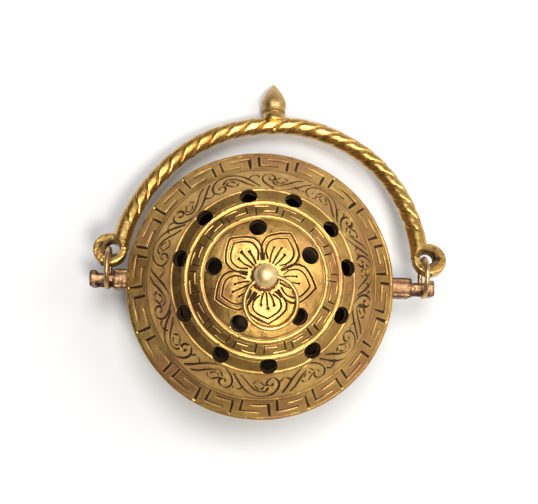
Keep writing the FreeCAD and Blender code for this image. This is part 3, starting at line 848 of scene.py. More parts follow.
# ---------------------------------------------------------------- knob, collar and pull ring
COLLAR_R, NECK_R, BALL_R, BALL_H = 5.2, 2.5, 4.1, 39.4
RING_HOLE_H, RING_HOLE_R, RING_R, RING_WIRE = 34.2, 1.3, 9.2, 0.8
RING_HEADING, RING_TILT = math.radians(15), math.radians(14)
ring_level = np.array([math.sin(RING_HEADING), -math.cos(RING_HEADING), 0.0])
ring_axis = np.array([-math.cos(RING_HEADING), -math.sin(RING_HEADING), 0.0])
ring_out = ring_level * math.cos(RING_TILT) - np.array([0, 0, math.sin(RING_TILT)])
ring_side = np.cross(ring_out, ring_axis)

neck_join = math.acos(min(1.0, (NECK_R - 0.55) / BALL_R))
ball_line = [(BALL_R * math.cos(a) * (1 + 0.012 * math.sin(3 * a)), BALL_H + BALL_R * math.sin(a))
             for a in np.linspace(-neck_join, math.pi / 2 - 0.01, 40)]
knob_line = rounded([(SHANK_R * 0.98, 24.7), (SHANK_R * 0.98, COLLAR_TOP + 0.01),
                     (NECK_R + 0.72, COLLAR_TOP + 0.02), (NECK_R + 0.66, COLLAR_TOP + 0.45),
                     (NECK_R, COLLAR_TOP + 0.85), (NECK_R - 0.05, 35.0),
                     (NECK_R - 0.35, 35.5), ball_line[0]], 0.25, 3)
knob_line = np.concatenate([[(0.02, 24.6)], refined(knob_line, 0.2), ball_line[1:]])
knob = lathe("knob_ball", knob_line, 128, LID_AXIS)
eye_drill = lathe("knob_drill", [(0.02, -6), (RING_HOLE_R, -6), (RING_HOLE_R, 6), (0.02, 6)], 48,
                  axis=(LID_AXIS + [0, 0, RING_HOLE_H], ring_side, np.cross(ring_axis, ring_side), ring_axis))
cut = knob.modifiers.new("eye", "BOOLEAN")
cut.operation = "DIFFERENCE"
cut.solver = "EXACT"
cut.object = eye_drill
applied(knob)
bpy.data.objects.remove(eye_drill)
knob.data.shade_smooth()
dent(knob, 4.0, 0.035, 51)
knob_points = plain_attributes(knob, 3.0, 0.22, 0.55, 52, LID_AXIS)
neck_height = knob_points[:, 2] - LID_AXIS[2]
knob_grime = 0.85 * smooth01((36.6 - neck_height) / 1.6) + 0.15 * smooth01(ripple(knob_points, 2.5, 54))
store(knob.data, "grime_and_shade", np.clip(knob_grime, 0, 1))
finished(knob, "lid", "knob_brass", knob_metal, "knob")

collar_line = refined(rounded([(1.6, 31.35), (COLLAR_R - 0.1, 31.28), (COLLAR_R, 31.6),
                               (COLLAR_R - 0.5, 32.15), (COLLAR_R - 1.3, 32.55),
                               (1.6, COLLAR_TOP - 0.02)], 0.3, 4), 0.12)
collar = lathe("knob_collar_cup", collar_line, 192, LID_AXIS)
collar_points = points_of(collar)
collar_rel = collar_points - LID_AXIS
collar_turn = np.arctan2(collar_rel[:, 1], collar_rel[:, 0])
collar_far = np.hypot(collar_rel[:, 0], collar_rel[:, 1])
scallop = 0.13 * np.cos(16 * collar_turn + 0.6 * np.sin(collar_turn)) * smooth01((collar_far - 3.2) / 1.8)
ragged = 0.12 * ripple(collar_points, 1.6, 57) * smooth01((collar_far - 4.0) / 1.0)
collar_out = collar_rel[:, :2] / np.maximum(collar_far, 0.1)[:, None]
collar_points[:, :2] += collar_out * (scallop + ragged - 0.2)[:, None]
set_points(collar, collar_points)
plain_attributes(collar, 2.5, 0.6, 0.35, 58, LID_AXIS)
finished(collar, "lid", "collar_copper", copper_metal, "knob_collar")


def ring_wire(name, centre, across, up, radius, wire, seam_at, flatten=0.0, wobble=0.0, seed=0,
              around=320, seg=28):
    """A bent-wire ring whose ends butt together at seam_at (radians), in the plane of across and up."""
    normal = np.cross(across, up)
    turn = np.linspace(0, 2 * math.pi, around, endpoint=False)
    rng = np.random.default_rng(seed)
    off = sum(wobble * rng.normal() / k * np.sin(k * turn + rng.uniform(0, 6.28)) for k in (2, 3, 4, 5))
    seam = np.exp(-(((turn - seam_at + math.pi) % (2 * math.pi) - math.pi) * radius / 0.14) ** 2)
    thick = wire * (1 - 0.16 * seam)
    phase = np.linspace(0, 2 * math.pi, seg, endpoint=False)
    out = np.cos(turn)[:, None] * across + np.sin(turn)[:, None] * up
    spine = np.asarray(centre) + out * (radius + off)[:, None]
    tube = (out[:, None, :] * (np.cos(phase)[None, :, None] * (1 - flatten))
            + normal[None, None, :] * np.sin(phase)[None, :, None])
    points = spine[:, None, :] + tube * thick[:, None, None]
    faces = grid_faces(around + 1, seg) % (around * seg)
    obj = make_mesh(name, points.reshape(-1, 3), faces)
    points = points.reshape(-1, 3)
    grime_and_shade = 0.9 * np.repeat(seam, seg) + 0.3 * smooth01(ripple(points, 3.0, seed + 1))
    wear_and_sheen = np.clip(0.45 + 0.5 * ripple(points, 4.0, seed + 2), 0, 1)
    store(obj.data, "grime_and_shade", np.clip(grime_and_shade, 0, 1))
    store(obj.data, "wear_and_sheen", wear_and_sheen)
    flow = np.stack([np.repeat(turn, seg) * radius, np.tile(phase, around) * wire, np.zeros(len(points))], -1)
    store(obj.data, "flow", flow)
    return obj


ring_centre = LID_AXIS + np.array([0, 0, RING_HOLE_H]) + ring_out * RING_R
pull_ring = ring_wire("pull_ring_wire", ring_centre, ring_out, ring_axis, RING_R, RING_WIRE,
                      math.radians(168), wobble=0.05, seed=61)
dent(pull_ring, 3.0, 0.02, 62)
finished(pull_ring, "pull_ring", "knob_brass", ring_metal, "pull_ring")


# ---------------------------------------------------------------- bail: rope-twist arch with flat eyes
def on_bail(local):
    """From the bail's own plane (x across, s up from the pivot, n out of the plane) to the row frame."""
    local = np.asarray(local, float).reshape(-1, 3)
    c, s = math.cos(DROOP), math.sin(DROOP)
    y = local[:, 1] * c + local[:, 2] * s
    z = -local[:, 1] * s + local[:, 2] * c
    return PIVOT + np.stack([local[:, 0], y, z], -1)


def off_bail(points):
    """From the row frame to the bail's own plane."""
    rel = np.asarray(points, float) - PIVOT
    c, s = math.cos(DROOP), math.sin(DROOP)
    return np.stack([rel[:, 0], rel[:, 1] * c - rel[:, 2] * s, rel[:, 1] * s + rel[:, 2] * c], -1)


EYE_R, EYE_HOLE_R, EYE_HALF_T = 6.4, 2.5, 2.2
EYE_OUT, EYE_DROP = 1.1, 0.5
STRANDS, TWIST_GROWTH, FIRST_LEAD = 3, 0.25, 19.0
ROPE_END = 10.0
ROPE_FADE = 3.5
ARCH_LENGTH = math.pi * BAIL_R
TWIST_TURNS = ARCH_LENGTH / (FIRST_LEAD * TWIST_GROWTH)


BENT_AT = np.radians((0, 20, 45, 75, 90, 110, 130, 145, 160, 170, 180))
BENT_BY = (0, 0.0, 0.8, 0.5, -0.4, -1.4, -2.3, -2.6, -1.9, -0.9, 0.0)


def bent(arch):
    """How far the hand-bent arch strays outwards from a true half circle."""
    return np.interp(arch, *bent_line.T)


bent_line = curve_through(np.stack([BENT_AT, BENT_BY], -1), 8)


def rope_depth(along, phase):
    """How deep the twist cuts, and how far from a groove's bottom (0) to a strand's top (1)."""
    turn = phase - 2 * math.pi * TWIST_TURNS * np.log1p(TWIST_GROWTH * along / ARCH_LENGTH)
    share = (STRANDS * turn / (2 * math.pi)) % 1.0
    away = np.abs(share - 0.5) * 2
    near = 1 - away
    cut = 0.85 * np.exp(-(near / 0.15) ** 1.8) + 0.12 * (1 - smooth01(near / 0.7))
    ends = smooth01((np.minimum(along, ARCH_LENGTH - along) - ROPE_END) / ROPE_FADE)
    return cut * ends, 1 - (1 - smooth01(near / 0.20)) * ends


def rope_arch():
    rings, seg = 620, 108
    along = np.linspace(0.0, ARCH_LENGTH, rings)
    arch = along / BAIL_R
    phase = np.linspace(0, 2 * math.pi, seg, endpoint=False)
    radius = BAR_R - rope_depth(along[:, None], phase[None, :])[0]
    grow = 1 + 0.02 * np.sin(along / 9.0) + 0.012 * np.sin(along / 3.7 + 1)
    radius = radius * grow[:, None] + 0.04
    out = np.cos(phase)[None, :] * radius
    up = np.sin(phase)[None, :] * radius
    reach = BAIL_R + bent(arch)[:, None] + out
    x = reach * np.cos(arch)[:, None]
    s = EYE_S + reach * np.sin(arch)[:, None]
    local = np.stack([x, s, up], -1).reshape(-1, 3)
    caps = [list(range(seg))[::-1], list(range((rings - 1) * seg, rings * seg))]
    return facing_out(make_mesh("arch", on_bail(local), grid_faces(rings, seg)), caps)


def eye_disc(side):
    outline = rounded([(0.02, -EYE_HALF_T), (EYE_R - 0.3, -EYE_HALF_T), (EYE_R, -EYE_HALF_T + 0.6),
                       (EYE_R, 0.5), (EYE_R, EYE_HALF_T - 0.6), (EYE_R - 0.3, EYE_HALF_T),
                       (0.02, EYE_HALF_T)], 0.9, 5)
    origin = on_bail((side * LUG_SPAN, EYE_S, 0))[0]
    ax = on_bail((side * LUG_SPAN + 1, EYE_S, 0))[0] - origin
    ay = on_bail((side * LUG_SPAN, EYE_S + 1, 0))[0] - origin
    az = on_bail((side * LUG_SPAN, EYE_S, 1))[0] - origin
    middle = origin + side * EYE_OUT * ax - EYE_DROP * ay
    disc = lathe("disc", refined(outline, 0.4), 96, axis=(middle, ax, ay, az))
    flare = [(0.02, -6), (EYE_HOLE_R + 1.4, -6), (EYE_HOLE_R + 0.7, -EYE_HALF_T - 0.3),
             (EYE_HOLE_R + 0.15, -1.6), (EYE_HOLE_R + 0.02, -0.8), (EYE_HOLE_R + 0.02, 0.8),
             (EYE_HOLE_R + 0.15, 1.6),
             (EYE_HOLE_R + 0.7, EYE_HALF_T + 0.3), (EYE_HOLE_R + 1.4, 6), (0.02, 6)]
    hole = lathe("hole", refined(flare, 0.5), 72, axis=(origin, ax, ay, az))
    return disc, hole


def groove_for_link(side):
    """The rubbed hollow that clears the link round each eye's rim."""
    centre = on_bail((side * LUG_SPAN - (2.6 - 1.3), 0, 0))[0]
    turn = np.linspace(0, 2 * math.pi, 96, endpoint=False)
    phase = np.linspace(0, 2 * math.pi, 20, endpoint=False)
    ring = np.stack([0 * turn, np.cos(turn), np.sin(turn)], -1)
    points = (centre + ring[:, None, :] * (7.2 + 1.32 * np.cos(phase))[None, :, None]
              + np.array([1.0, 0, 0])[None, None, :] * (1.32 * np.sin(phase))[None, :, None])
    return make_mesh("relief", points.reshape(-1, 3), grid_faces(97, 20) % (96 * 20))


def make_bail():
    arch = rope_arch()
    parts, holes = [arch], []
    for side in (-1, 1):
        disc, hole = eye_disc(side)
        parts.append(disc)
        holes += [hole, groove_for_link(side)]
    obj = joined_bodies("bail_rope", parts, [], 0.24, 1)
    for hole in holes:
        bpy.context.view_layer.update()
        trim = obj.modifiers.new("cut", "BOOLEAN")
        trim.operation = "DIFFERENCE"
        trim.solver = "EXACT"
        trim.object = hole
        applied(obj)
        bpy.data.objects.remove(hole)
    obj.data.shade_smooth()
    return obj


def dress_bail(obj):
    points = points_of(obj)
    local = off_bail(points)
    arch = np.arctan2(local[:, 1] - EYE_S, local[:, 0])
    arch = np.where(arch < -math.pi / 2, arch + 2 * math.pi, arch)
    along = np.clip(arch, 0, math.pi) * BAIL_R
    far = np.hypot(local[:, 0], local[:, 1] - EYE_S) - BAIL_R - bent(np.clip(arch, 0, math.pi))
    phase = np.arctan2(local[:, 2], far)
    height = rope_depth(along, phase)[1]
    disc_gap = np.min([np.hypot(local[:, 0] - side * (LUG_SPAN + EYE_OUT), local[:, 1] - EYE_S + EYE_DROP)
                       for side in (-1, 1)], axis=0)
    on_disc = smooth01((EYE_R + 0.6 - disc_gap) / 0.8)
    normals = normals_of(obj)
    lift = 0.03 * ripple(points, 9, 81) + 0.018 * ripple(points, 2.4, 82)
    pits = 0.10 * smooth01(ripple(points, 2.6, 84) - 0.35) + 0.05 * smooth01(ripple(points, 1.2, 85))
    lift -= on_disc * pits
    set_points(obj, points + normals * lift[:, None])
    grime_and_shade = smooth01((0.62 - height) / 0.62) * (0.85 + 0.15 * ripple(points, 4, 83))
    seat = smooth01((disc_gap - EYE_HOLE_R - 0.9) / 0.8)
    grime_and_shade = np.maximum(grime_and_shade * (1 - on_disc), on_disc * (0.25 + 0.55 * (1 - seat)
                                                         + 0.5 * smooth01(ripple(points, 2.6, 84) - 0.2)))
    patches = np.clip(0.35 + 0.5 * ripple(points, 12, 86), 0.05, 1)
    wear_and_sheen = smooth01((height - 0.75) / 0.25) * patches * (1 - on_disc)
    wear_and_sheen += on_disc * 0.35 * np.exp(-((disc_gap - EYE_R + 0.5) / 0.5) ** 2)
    store(obj.data, "grime_and_shade", np.clip(grime_and_shade, 0, 1))
    store(obj.data, "wear_and_sheen", np.clip(wear_and_sheen, 0, 1))
    store(obj.data, "flow", np.stack([along, phase * BAR_R, np.zeros(len(along))], -1))


bail = make_bail()
dress_bail(bail)
finished(bail, "bail", "bail_brass", bail_metal, "bail")

# ---------------------------------------------------------------- finial: bud, saddle and tenon
CROWN_S = EYE_S + BAIL_R
BUD_START = BAR_R + 2.0
BUD_R, BUD_LENGTH = 5.0, 14.2
bail_x = on_bail((1, 0, 0))[0] - on_bail((0, 0, 0))[0]
bail_s = on_bail((0, 1, 0))[0] - on_bail((0, 0, 0))[0]
bail_n = on_bail((0, 0, 1))[0] - on_bail((0, 0, 0))[0]
crown_at = on_bail((0.7, CROWN_S - 0.4, 0))[0]
about_crown = (crown_at, bail_n, bail_x, bail_s)

swell = []
for t in np.linspace(0.0, 0.995, 70):
    width = math.sin(math.pi * (0.16 + 0.84 * t) ** 0.62)
    swell.append((max(0.06, BUD_R * max(width, 0) ** 0.9 - 0.05), BUD_START + 1.6 + (BUD_LENGTH - 1.6) * t))
beads = [(1.0, BUD_START), (BUD_R - 0.9, BUD_START), (BUD_R - 0.5, BUD_START + 0.28),
         (BUD_R - 0.35, BUD_START + 0.55), (BUD_R - 0.6, BUD_START + 0.85),
         (BUD_R - 1.0, BUD_START + 1.05), (BUD_R - 0.8, BUD_START + 1.3)]
bud_line = np.concatenate([refined(rounded(beads, 0.15, 3), 0.1), swell])
bud = lathe("finial_bud", bud_line, 180, axis=about_crown)
bud_points = points_of(bud)
bud_rel = bud_points - crown_at
bud_s = bud_rel @ bail_s
bud_turn = np.arctan2(bud_rel @ bail_x, bud_rel @ bail_n)
share = (bud_s - BUD_START - 1.6) / (BUD_LENGTH - 1.6)
PETAL_COUNT = 6
leaf = np.abs(((bud_turn * PETAL_COUNT / (2 * math.pi)) % 1.0) - 0.5) * 2
leaf_edge = np.abs(share - 0.06 - 0.42 * (1 - leaf ** 1.7))
mid_rib = np.where(share < 0.42, np.abs(leaf) * 2.4, 9.0)
leaf_cut = np.exp(-(leaf_edge / 0.026) ** 2) * smooth01((share - 0.02) / 0.05)
rib_cut = np.exp(-(mid_rib / 0.16) ** 2) * smooth01((share - 0.05) / 0.08) * smooth01((0.40 - share) / 0.1)
bud_normals = normals_of(bud)
bud_lift = -0.17 * leaf_cut - 0.10 * rib_cut
bud_lift = bud_lift + 0.03 * ripple(bud_points, 4, 91) + 0.015 * ripple(bud_points, 1.5, 92)
bud_lift *= smooth01((BUD_START + BUD_LENGTH - bud_s) / 0.6)
set_points(bud, bud_points + bud_normals * bud_lift[:, None])
plain_attributes(bud, 5.0, 0.15, 0.35, 93)
foot_dirt = smooth01((BUD_START + 1.5 - bud_s) / 0.5) * 0.5
ring_dirt = np.exp(-((bud_s - BUD_START - 1.08) / 0.16) ** 2)
bud_grime = np.clip(np.maximum.reduce([0.8 * leaf_cut, 0.6 * rib_cut, foot_dirt, ring_dirt]), 0, 1)
store(bud.data, "grime_and_shade", np.clip(bud_grime + 0.12 * smooth01(ripple(bud_points, 5, 94)), 0, 1))
finished(bud, "bail", "finial_brass", finial_metal, "finial")


def make_saddle():
    """The flared collar that sits over the bar, hollowed to its round."""
    outline = rounded([(0.02, 0.4), (4.75, 0.4), (5.0, 1.2), (4.95, BAR_R - 0.4), (4.8, BAR_R + 0.1),
                       (4.5, BAR_R + 0.6), (4.3, BAR_R + 1.0), (4.6, BAR_R + 1.25),
                       (4.4, BAR_R + 1.6), (4.0, BUD_START + 0.02), (0.02, BUD_START + 0.02)], 0.3, 3)
    body = lathe("saddle", refined(outline, 0.25), 120, axis=about_crown)
    turn = np.linspace(-0.2, 0.2, 40)
    phase = np.linspace(0, 2 * math.pi, 72, endpoint=False)
    gauge = BAR_R - 0.28
    reach = BAIL_R + gauge * np.cos(phase)[None, :]
    local = np.stack([reach * np.sin(turn)[:, None], EYE_S + reach * np.cos(turn)[:, None],
                      np.broadcast_to(gauge * np.sin(phase)[None, :], (40, 72))], -1).reshape(-1, 3)
    faces = [list(map(int, f)) for f in grid_faces(40, 72)]
    faces += [list(range(72))[::-1], list(range(39 * 72, 40 * 72))]
    bar = facing_out(make_mesh("bar", on_bail(local), faces))
    return joined_bodies("finial_saddle", [body], [bar], 0.17, 2)


saddle = make_saddle()
saddle_points = plain_attributes(saddle, 3.0, 0.4, 0.3, 95)
saddle_s = (saddle_points - crown_at) @ bail_s
saddle_cuts = np.exp(-((saddle_s - BAR_R - 0.85) / 0.22) ** 2) + np.exp(-((saddle_s - BUD_START) / 0.25) ** 2)
saddle_grime = 0.8 * saddle_cuts + 0.25 * smooth01(ripple(saddle_points, 2.5, 96))
store(saddle.data, "grime_and_shade", np.clip(saddle_grime, 0, 1))
finished(saddle, "bail", "bail_brass", bail_metal, "finial_collar")

tenon_line = [(0.02, -BAR_R - 0.28)] + [(2.08 * math.cos(a), -BAR_R + 1.8 - 2.08 * math.sin(a))
                                        for a in np.linspace(math.pi / 2 - 0.1, 0.32, 16)]
tenon_line += [(1.15, -BAR_R + 1.4), (1.15, BUD_START + 2.0), (0.02, BUD_START + 2.0)]
tenon = lathe("finial_tenon_head", refined(tenon_line, 0.3), 72, axis=about_crown)
dent(tenon, 1.6, 0.05, 97)
plain_attributes(tenon, 2.0, 0.5, 0.5, 98)
finished(tenon, "bail", "bail_brass", bail_metal, "finial_tenon")


# ---------------------------------------------------------------- lugs, rivets and links
BODY_R, LUG_TIP, LUG_HALF, WAIST_HALF, BRIDGE_R, BRIDGE_TOP = 47.2, 65.4, 3.8, 2.9, 1.4, 2.6
SLOT_DEPTH, SILL, PALM_T, PALM_HALF_Y, PALM_TOP = 4.6, 1.8, 2.2, 8.5, 25.6
LINK_R, LINK_WIRE, LINK_SHIFT = 7.2, 0.95, 1.3


def block(x0, x1, y_half, z0, z1, corner):
    """A cast block with rounded edges."""
    bm = bmesh.new()
    bmesh.ops.create_cube(bm, size=1.0)
    for vert in bm.verts:
        x, y, z = vert.co
        vert.co = Vector((x0 + (x + 0.5) * (x1 - x0), y * 2 * y_half, z0 + (z + 0.5) * (z1 - z0)))
    bmesh.ops.bevel(bm, geom=bm.edges[:], offset=corner, segments=4, affect="EDGES", profile=0.6)
    mesh = bpy.data.meshes.new("block")
    bm.to_mesh(mesh)
    bm.free()
    mesh.transform(Matrix.Scale(MM, 4))
    obj = bpy.data.objects.new("block", mesh)
    bpy.context.scene.collection.objects.link(obj)
    return obj


def prism(outline, x0, x1):
    """A bar drawn along X from an outline of (y, z) pairs about the lug's pivot."""
    count = len(outline)
    points = [(x, y, LUG_Z + z) for x in (x0, x1) for y, z in outline]
    faces = [[i, (i + 1) % count, count + (i + 1) % count, count + i] for i in range(count)]
    faces += [list(range(count))[::-1], list(range(count, 2 * count))]
    return facing_out(make_mesh("bar", points, faces, smooth=False))


def palm_plate():
    """The lug's palm, curved to the bowl's wall."""
    steps, half = 40, math.asin(PALM_HALF_Y / (BODY_R + PALM_T)) * 0.97
    low = LUG_Z - BRIDGE_R - SLOT_DEPTH - SILL
    points, faces = [], []
    for i in range(steps + 1):
        t = -1 + 2 * i / steps
        taper = math.sqrt(max(0.0, 1 - max(0.0, (abs(t) - 0.72) / 0.28) ** 2))
        middle = (low + PALM_TOP) / 2
        tall = (PALM_TOP - low) / 2 * (0.55 + 0.45 * taper) - 0.1
        c, s = math.cos(half * t), math.sin(half * t)
        for r, z in ((BODY_R + 0.04, middle - tall), (BODY_R + PALM_T - 0.1, middle - tall),
                     (BODY_R + PALM_T - 0.1, middle + tall), (BODY_R + 0.04, middle + tall)):
            points.append((r * c, r * s, z))
    for i in range(steps):
        for k in range(4):
            faces.append([4 * i + k, 4 * i + (k + 1) % 4, 4 * i + 4 + (k + 1) % 4, 4 * i + 4 + k])
    faces += [[3, 2, 1, 0], [4 * steps, 4 * steps + 1, 4 * steps + 2, 4 * steps + 3]]
    return facing_out(make_mesh("palm", points, faces, smooth=False))


def make_lug(name, side, seed):
    sill_top = -BRIDGE_R - SLOT_DEPTH
    low, high = LUG_Z + sill_top - SILL + 0.08, LUG_Z + BRIDGE_TOP - 0.06
    waist0, waist1 = LUG_SPAN - WAIST_HALF, LUG_SPAN + WAIST_HALF
    parts = [block(BODY_R + 0.3, waist0, LUG_HALF - 0.05, low, high, 1.2),
             block(waist1, LUG_TIP - 0.06, LUG_HALF - 0.7, low, high, 1.2)]
    under = [(BRIDGE_R * math.sin(a), -BRIDGE_R * math.cos(a)) for a in np.radians(range(-80, 81, 10))]
    top = [(1.7, BRIDGE_R), (1.15, BRIDGE_TOP - 0.35), (0.0, BRIDGE_TOP - 0.12), (-1.15, BRIDGE_TOP - 0.35),
           (-1.7, BRIDGE_R)]
    parts.append(prism(under + top, waist0 - 1.5, waist1 + 1.4))
    sill_low = sill_top - SILL + 0.16
    parts.append(prism([(-2.3, sill_top - 0.02), (2.3, sill_top - 0.02), (2.8, (sill_top + sill_low) / 2),
                        (2.1, sill_low), (-2.1, sill_low), (-2.8, (sill_top + sill_low) / 2)],
                       waist0 - 1.5, waist1 + 1.4))
    parts.append(palm_plate())
    obj = joined_bodies(name, parts, [], 0.2, 3)
    points, normals = points_of(obj), normals_of(obj)
    x, y, z = points.T
    groove_side = np.exp(-((np.abs(y) - 1.9) / 0.5) ** 2) * smooth01((z - high + 1.2) / 0.8)
    on_block = smooth01((x - BODY_R - 1.0) / 1.0)
    lift = -0.16 * groove_side * on_block + 0.07 * ripple(points, 3.2, seed)
    lift += 0.035 * ripple(points, 1.3, seed + 1)
    lift -= 0.1 * smooth01(ripple(points, 1.8, seed + 2) - 0.7)
    near_bridge = smooth01((BRIDGE_R + 1.2 - np.hypot(y, z - LUG_Z)) / 0.5)
    saddle_zone = np.exp(-((x - LUG_SPAN) / 2.2) ** 2) * near_bridge
    lift *= 1 - saddle_zone
    points = points + normals * np.minimum(lift, 0.05)[:, None]
    gap = np.abs(x - LUG_SPAN) < WAIST_HALF + 0.5
    # random grime, plus painted shadow darkening the lug's root where it meets the bowl under the lid
    grime_and_shade = 0.35 * smooth01(ripple(points, 3.0, seed + 3)) + 0.75 * smooth01((BODY_R + 2.6 - x) / 1.4)
    # painted shade darkening the slot below the link's pivot
    grime_and_shade = np.maximum(grime_and_shade, np.where(gap, 0.6 * smooth01((LUG_Z - z) / 3.0), 0))
    grime_and_shade = np.maximum(grime_and_shade, 0.55 * groove_side * on_block)
    # a lighter stripe along the top ridge: rubbed wear plus painted highlight
    wear_and_sheen = 0.8 * np.exp(-((y - 0.2) / 0.7) ** 2) * smooth01((z - high + 0.8) / 0.6)
    wear_and_sheen = np.maximum(wear_and_sheen, 0.5 * saddle_zone)
    points[:, 0] *= side
    obj.data.vertices.foreach_set("co", (points * MM).astype(np.float32).ravel())
    if side < 0:
        obj.data.flip_normals()
    obj.data.update()
    store(obj.data, "grime_and_shade", np.clip(grime_and_shade, 0, 1))
    store(obj.data, "wear_and_sheen", np.clip(wear_and_sheen, 0, 1))
    store(obj.data, "flow", points)
    return obj


RIVET_ANGLE, RIVET_HEAD, RIVET_SINK, RIVET_DROP, WALL = math.radians(6.9), 2.1, 1.1, 3.6, 1.7


def make_rivets(name, side, seed):
    """Two hammered rivet heads outside the palm and two inside the bowl's wall, with their shanks."""
    meshes = []
    for angle in (-RIVET_ANGLE, RIVET_ANGLE):
        way = np.array([side * math.cos(angle), math.sin(angle), 0.0])
        ax, ay = np.array([0.0, 0, 1]), np.cross(way, [0.0, 0, 1])
        dome = math.asin(RIVET_SINK / RIVET_HEAD)
        outer = [(RIVET_HEAD * math.cos(a), BODY_R + PALM_T - RIVET_SINK + RIVET_HEAD * math.sin(a) - 0.12)
                 for a in np.linspace(dome, math.pi / 2 - 0.02, 14)]
        inner = [(RIVET_HEAD * math.cos(a), BODY_R - WALL + RIVET_SINK - RIVET_HEAD * math.sin(a) + 0.05)
                 for a in np.linspace(math.pi / 2 - 0.02, dome, 14)]
        line = inner + [(1.08, BODY_R - WALL + 0.2), (1.08, BODY_R + PALM_T - 0.2)] + outer
        head = lathe("head", refined(line, 0.3), 48, axis=(np.array([0, 0, LUG_Z - RIVET_DROP]), ax, ay, way))
        meshes.append(head)
    bm = bmesh.new()
    for head in meshes:
        bm.from_mesh(head.data)
        bpy.data.objects.remove(head)
    mesh = bpy.data.meshes.new(name)
    bm.to_mesh(mesh)
    bm.free()
    obj = bpy.data.objects.new(name, mesh)
    bpy.context.scene.collection.objects.link(obj)
    obj.data.shade_smooth()
    dent(obj, 1.3, 0.04, seed)
    plain_attributes(obj, 2.0, 0.5, 0.45, seed + 1)
    return obj


for label, side, seed in (("right", 1, 101), ("left", -1, 131)):
    lug = make_lug(label + "_lug_casting", side, seed)
    finished(lug, "censer_bowl", "lug_brass", lug_metal, label + "_lug")
    rivets = make_rivets(label + "_lug_rivet_heads", side, seed + 10)
    finished(rivets, "censer_bowl", "lug_brass", lug_metal, label + "_lug_rivets")
    seam = math.radians(-60 if side > 0 else 200)
    link_centre = (side * LUG_SPAN + LINK_SHIFT, PIVOT[1], PIVOT[2])
    link = ring_wire(label + "_link_wire", link_centre, np.array([0.0, 1, 0]), np.array([0.0, 0, 1]), LINK_R,
                     LINK_WIRE, seam, seed=seed + 20, around=260, seg=26)
    finished(link, label + "_link", "link_wire", link_metal, label + "_link")


# ---------------------------------------------------------------- bowl, foot and ember cup
RIM_Z, BOWL_R, MOUTH_R, BASE_Z, BASE_R, SHOULDER_Z = 30.0, 48.5, 45.5, 4.0, 27.0, 15.5
FOOT_R, FOOT_WALL, CUP_LIP_R, CUP_LIP_Z, CUP_BASE_R = 26.0, 3.4, 38.5, 25.0, 17.0


def flank(inset):
    wide, tall = BODY_R - BASE_R - inset, SHOULDER_Z - BASE_Z - inset
    return [(BASE_R + wide * math.cos(a), SHOULDER_Z + tall * math.sin(a))
            for a in np.linspace(-math.pi / 2, 0, 28)]


def turned_piece(name, line, segments, seed, rings=(), grime_amount=0.45):
    """A lathe-turned piece with faint tool rings, dents, uneven grime, and grime in its scored rings."""
    line = refined(line, 0.45)
    obj = lathe(name, line, segments)
    points, normals = points_of(obj), normals_of(obj)
    score = np.zeros(len(points))
    for height, radius in rings:
        away = np.hypot(np.hypot(points[:, 0], points[:, 1]) - radius, points[:, 2] - height)
        score = np.maximum(score, np.exp(-(away / 0.35) ** 2))
    lift = 0.05 * ripple(points, 13, seed) + 0.02 * ripple(points, 3, seed + 1) - 0.3 * score
    set_points(obj, points + normals * np.minimum(lift, 0.03)[:, None])
    plain_attributes(obj, 10.0, grime_amount, 0.25, seed + 2, (0, 0, 0))
    grime_and_shade = grime_amount * smooth01(0.45 + 0.6 * ripple(points, 11, seed + 3))
    grime_and_shade = np.maximum(grime_and_shade, 0.85 * score)
    store(obj.data, "grime_and_shade", np.clip(grime_and_shade, 0, 1))
    return obj


band_z = RIM_Z - 3.4
outer_wall = flank(0.03)
bowl_line = [(0.02, BASE_Z)] + outer_wall + [(BODY_R - 0.03, band_z - 0.8)]
bowl_line += list(rounded([(BODY_R - 0.03, band_z - 0.8), (BOWL_R - 0.05, band_z),
                           (BOWL_R - 0.05, RIM_Z - 0.03), (MOUTH_R + 0.03, RIM_Z - 0.03),
                           (MOUTH_R + 0.03, SHOULDER_Z + 6)], 0.6, 5))[1:]
bowl_line += list(reversed(flank(1.7))) + [(0.02, BASE_Z + 1.7)]
bowl_rings = ((band_z - 1.6, BODY_R), (17.5, BODY_R), (16.4, BODY_R - 0.05), (5.6, 33.9))
bowl = turned_piece("bowl_shell", bowl_line, 420, 151, bowl_rings)
finished(bowl, "censer_bowl", "bowl_brass", bowl_metal, "bowl")

foot_inner = FOOT_R - FOOT_WALL
foot_line = rounded([(foot_inner + 1.5, 0.0), (FOOT_R, 0.0), (FOOT_R, 1.3), (FOOT_R - 1.1, 2.3),
                     (FOOT_R, 3.5), (FOOT_R, BASE_Z), (foot_inner, BASE_Z), (foot_inner, 0.0),
                     (foot_inner + 1.49, 0.0)], 0.45, 4)
foot = turned_piece("foot_ring_turned", foot_line, 300, 161, ((2.35, FOOT_R - 1.0),))
foot_points = points_of(foot)
foot_points[:, 2] = np.maximum(foot_points[:, 2], 0.0)
set_points(foot, foot_points)
finished(foot, "censer_bowl", "bowl_brass", bowl_metal, "foot_ring")

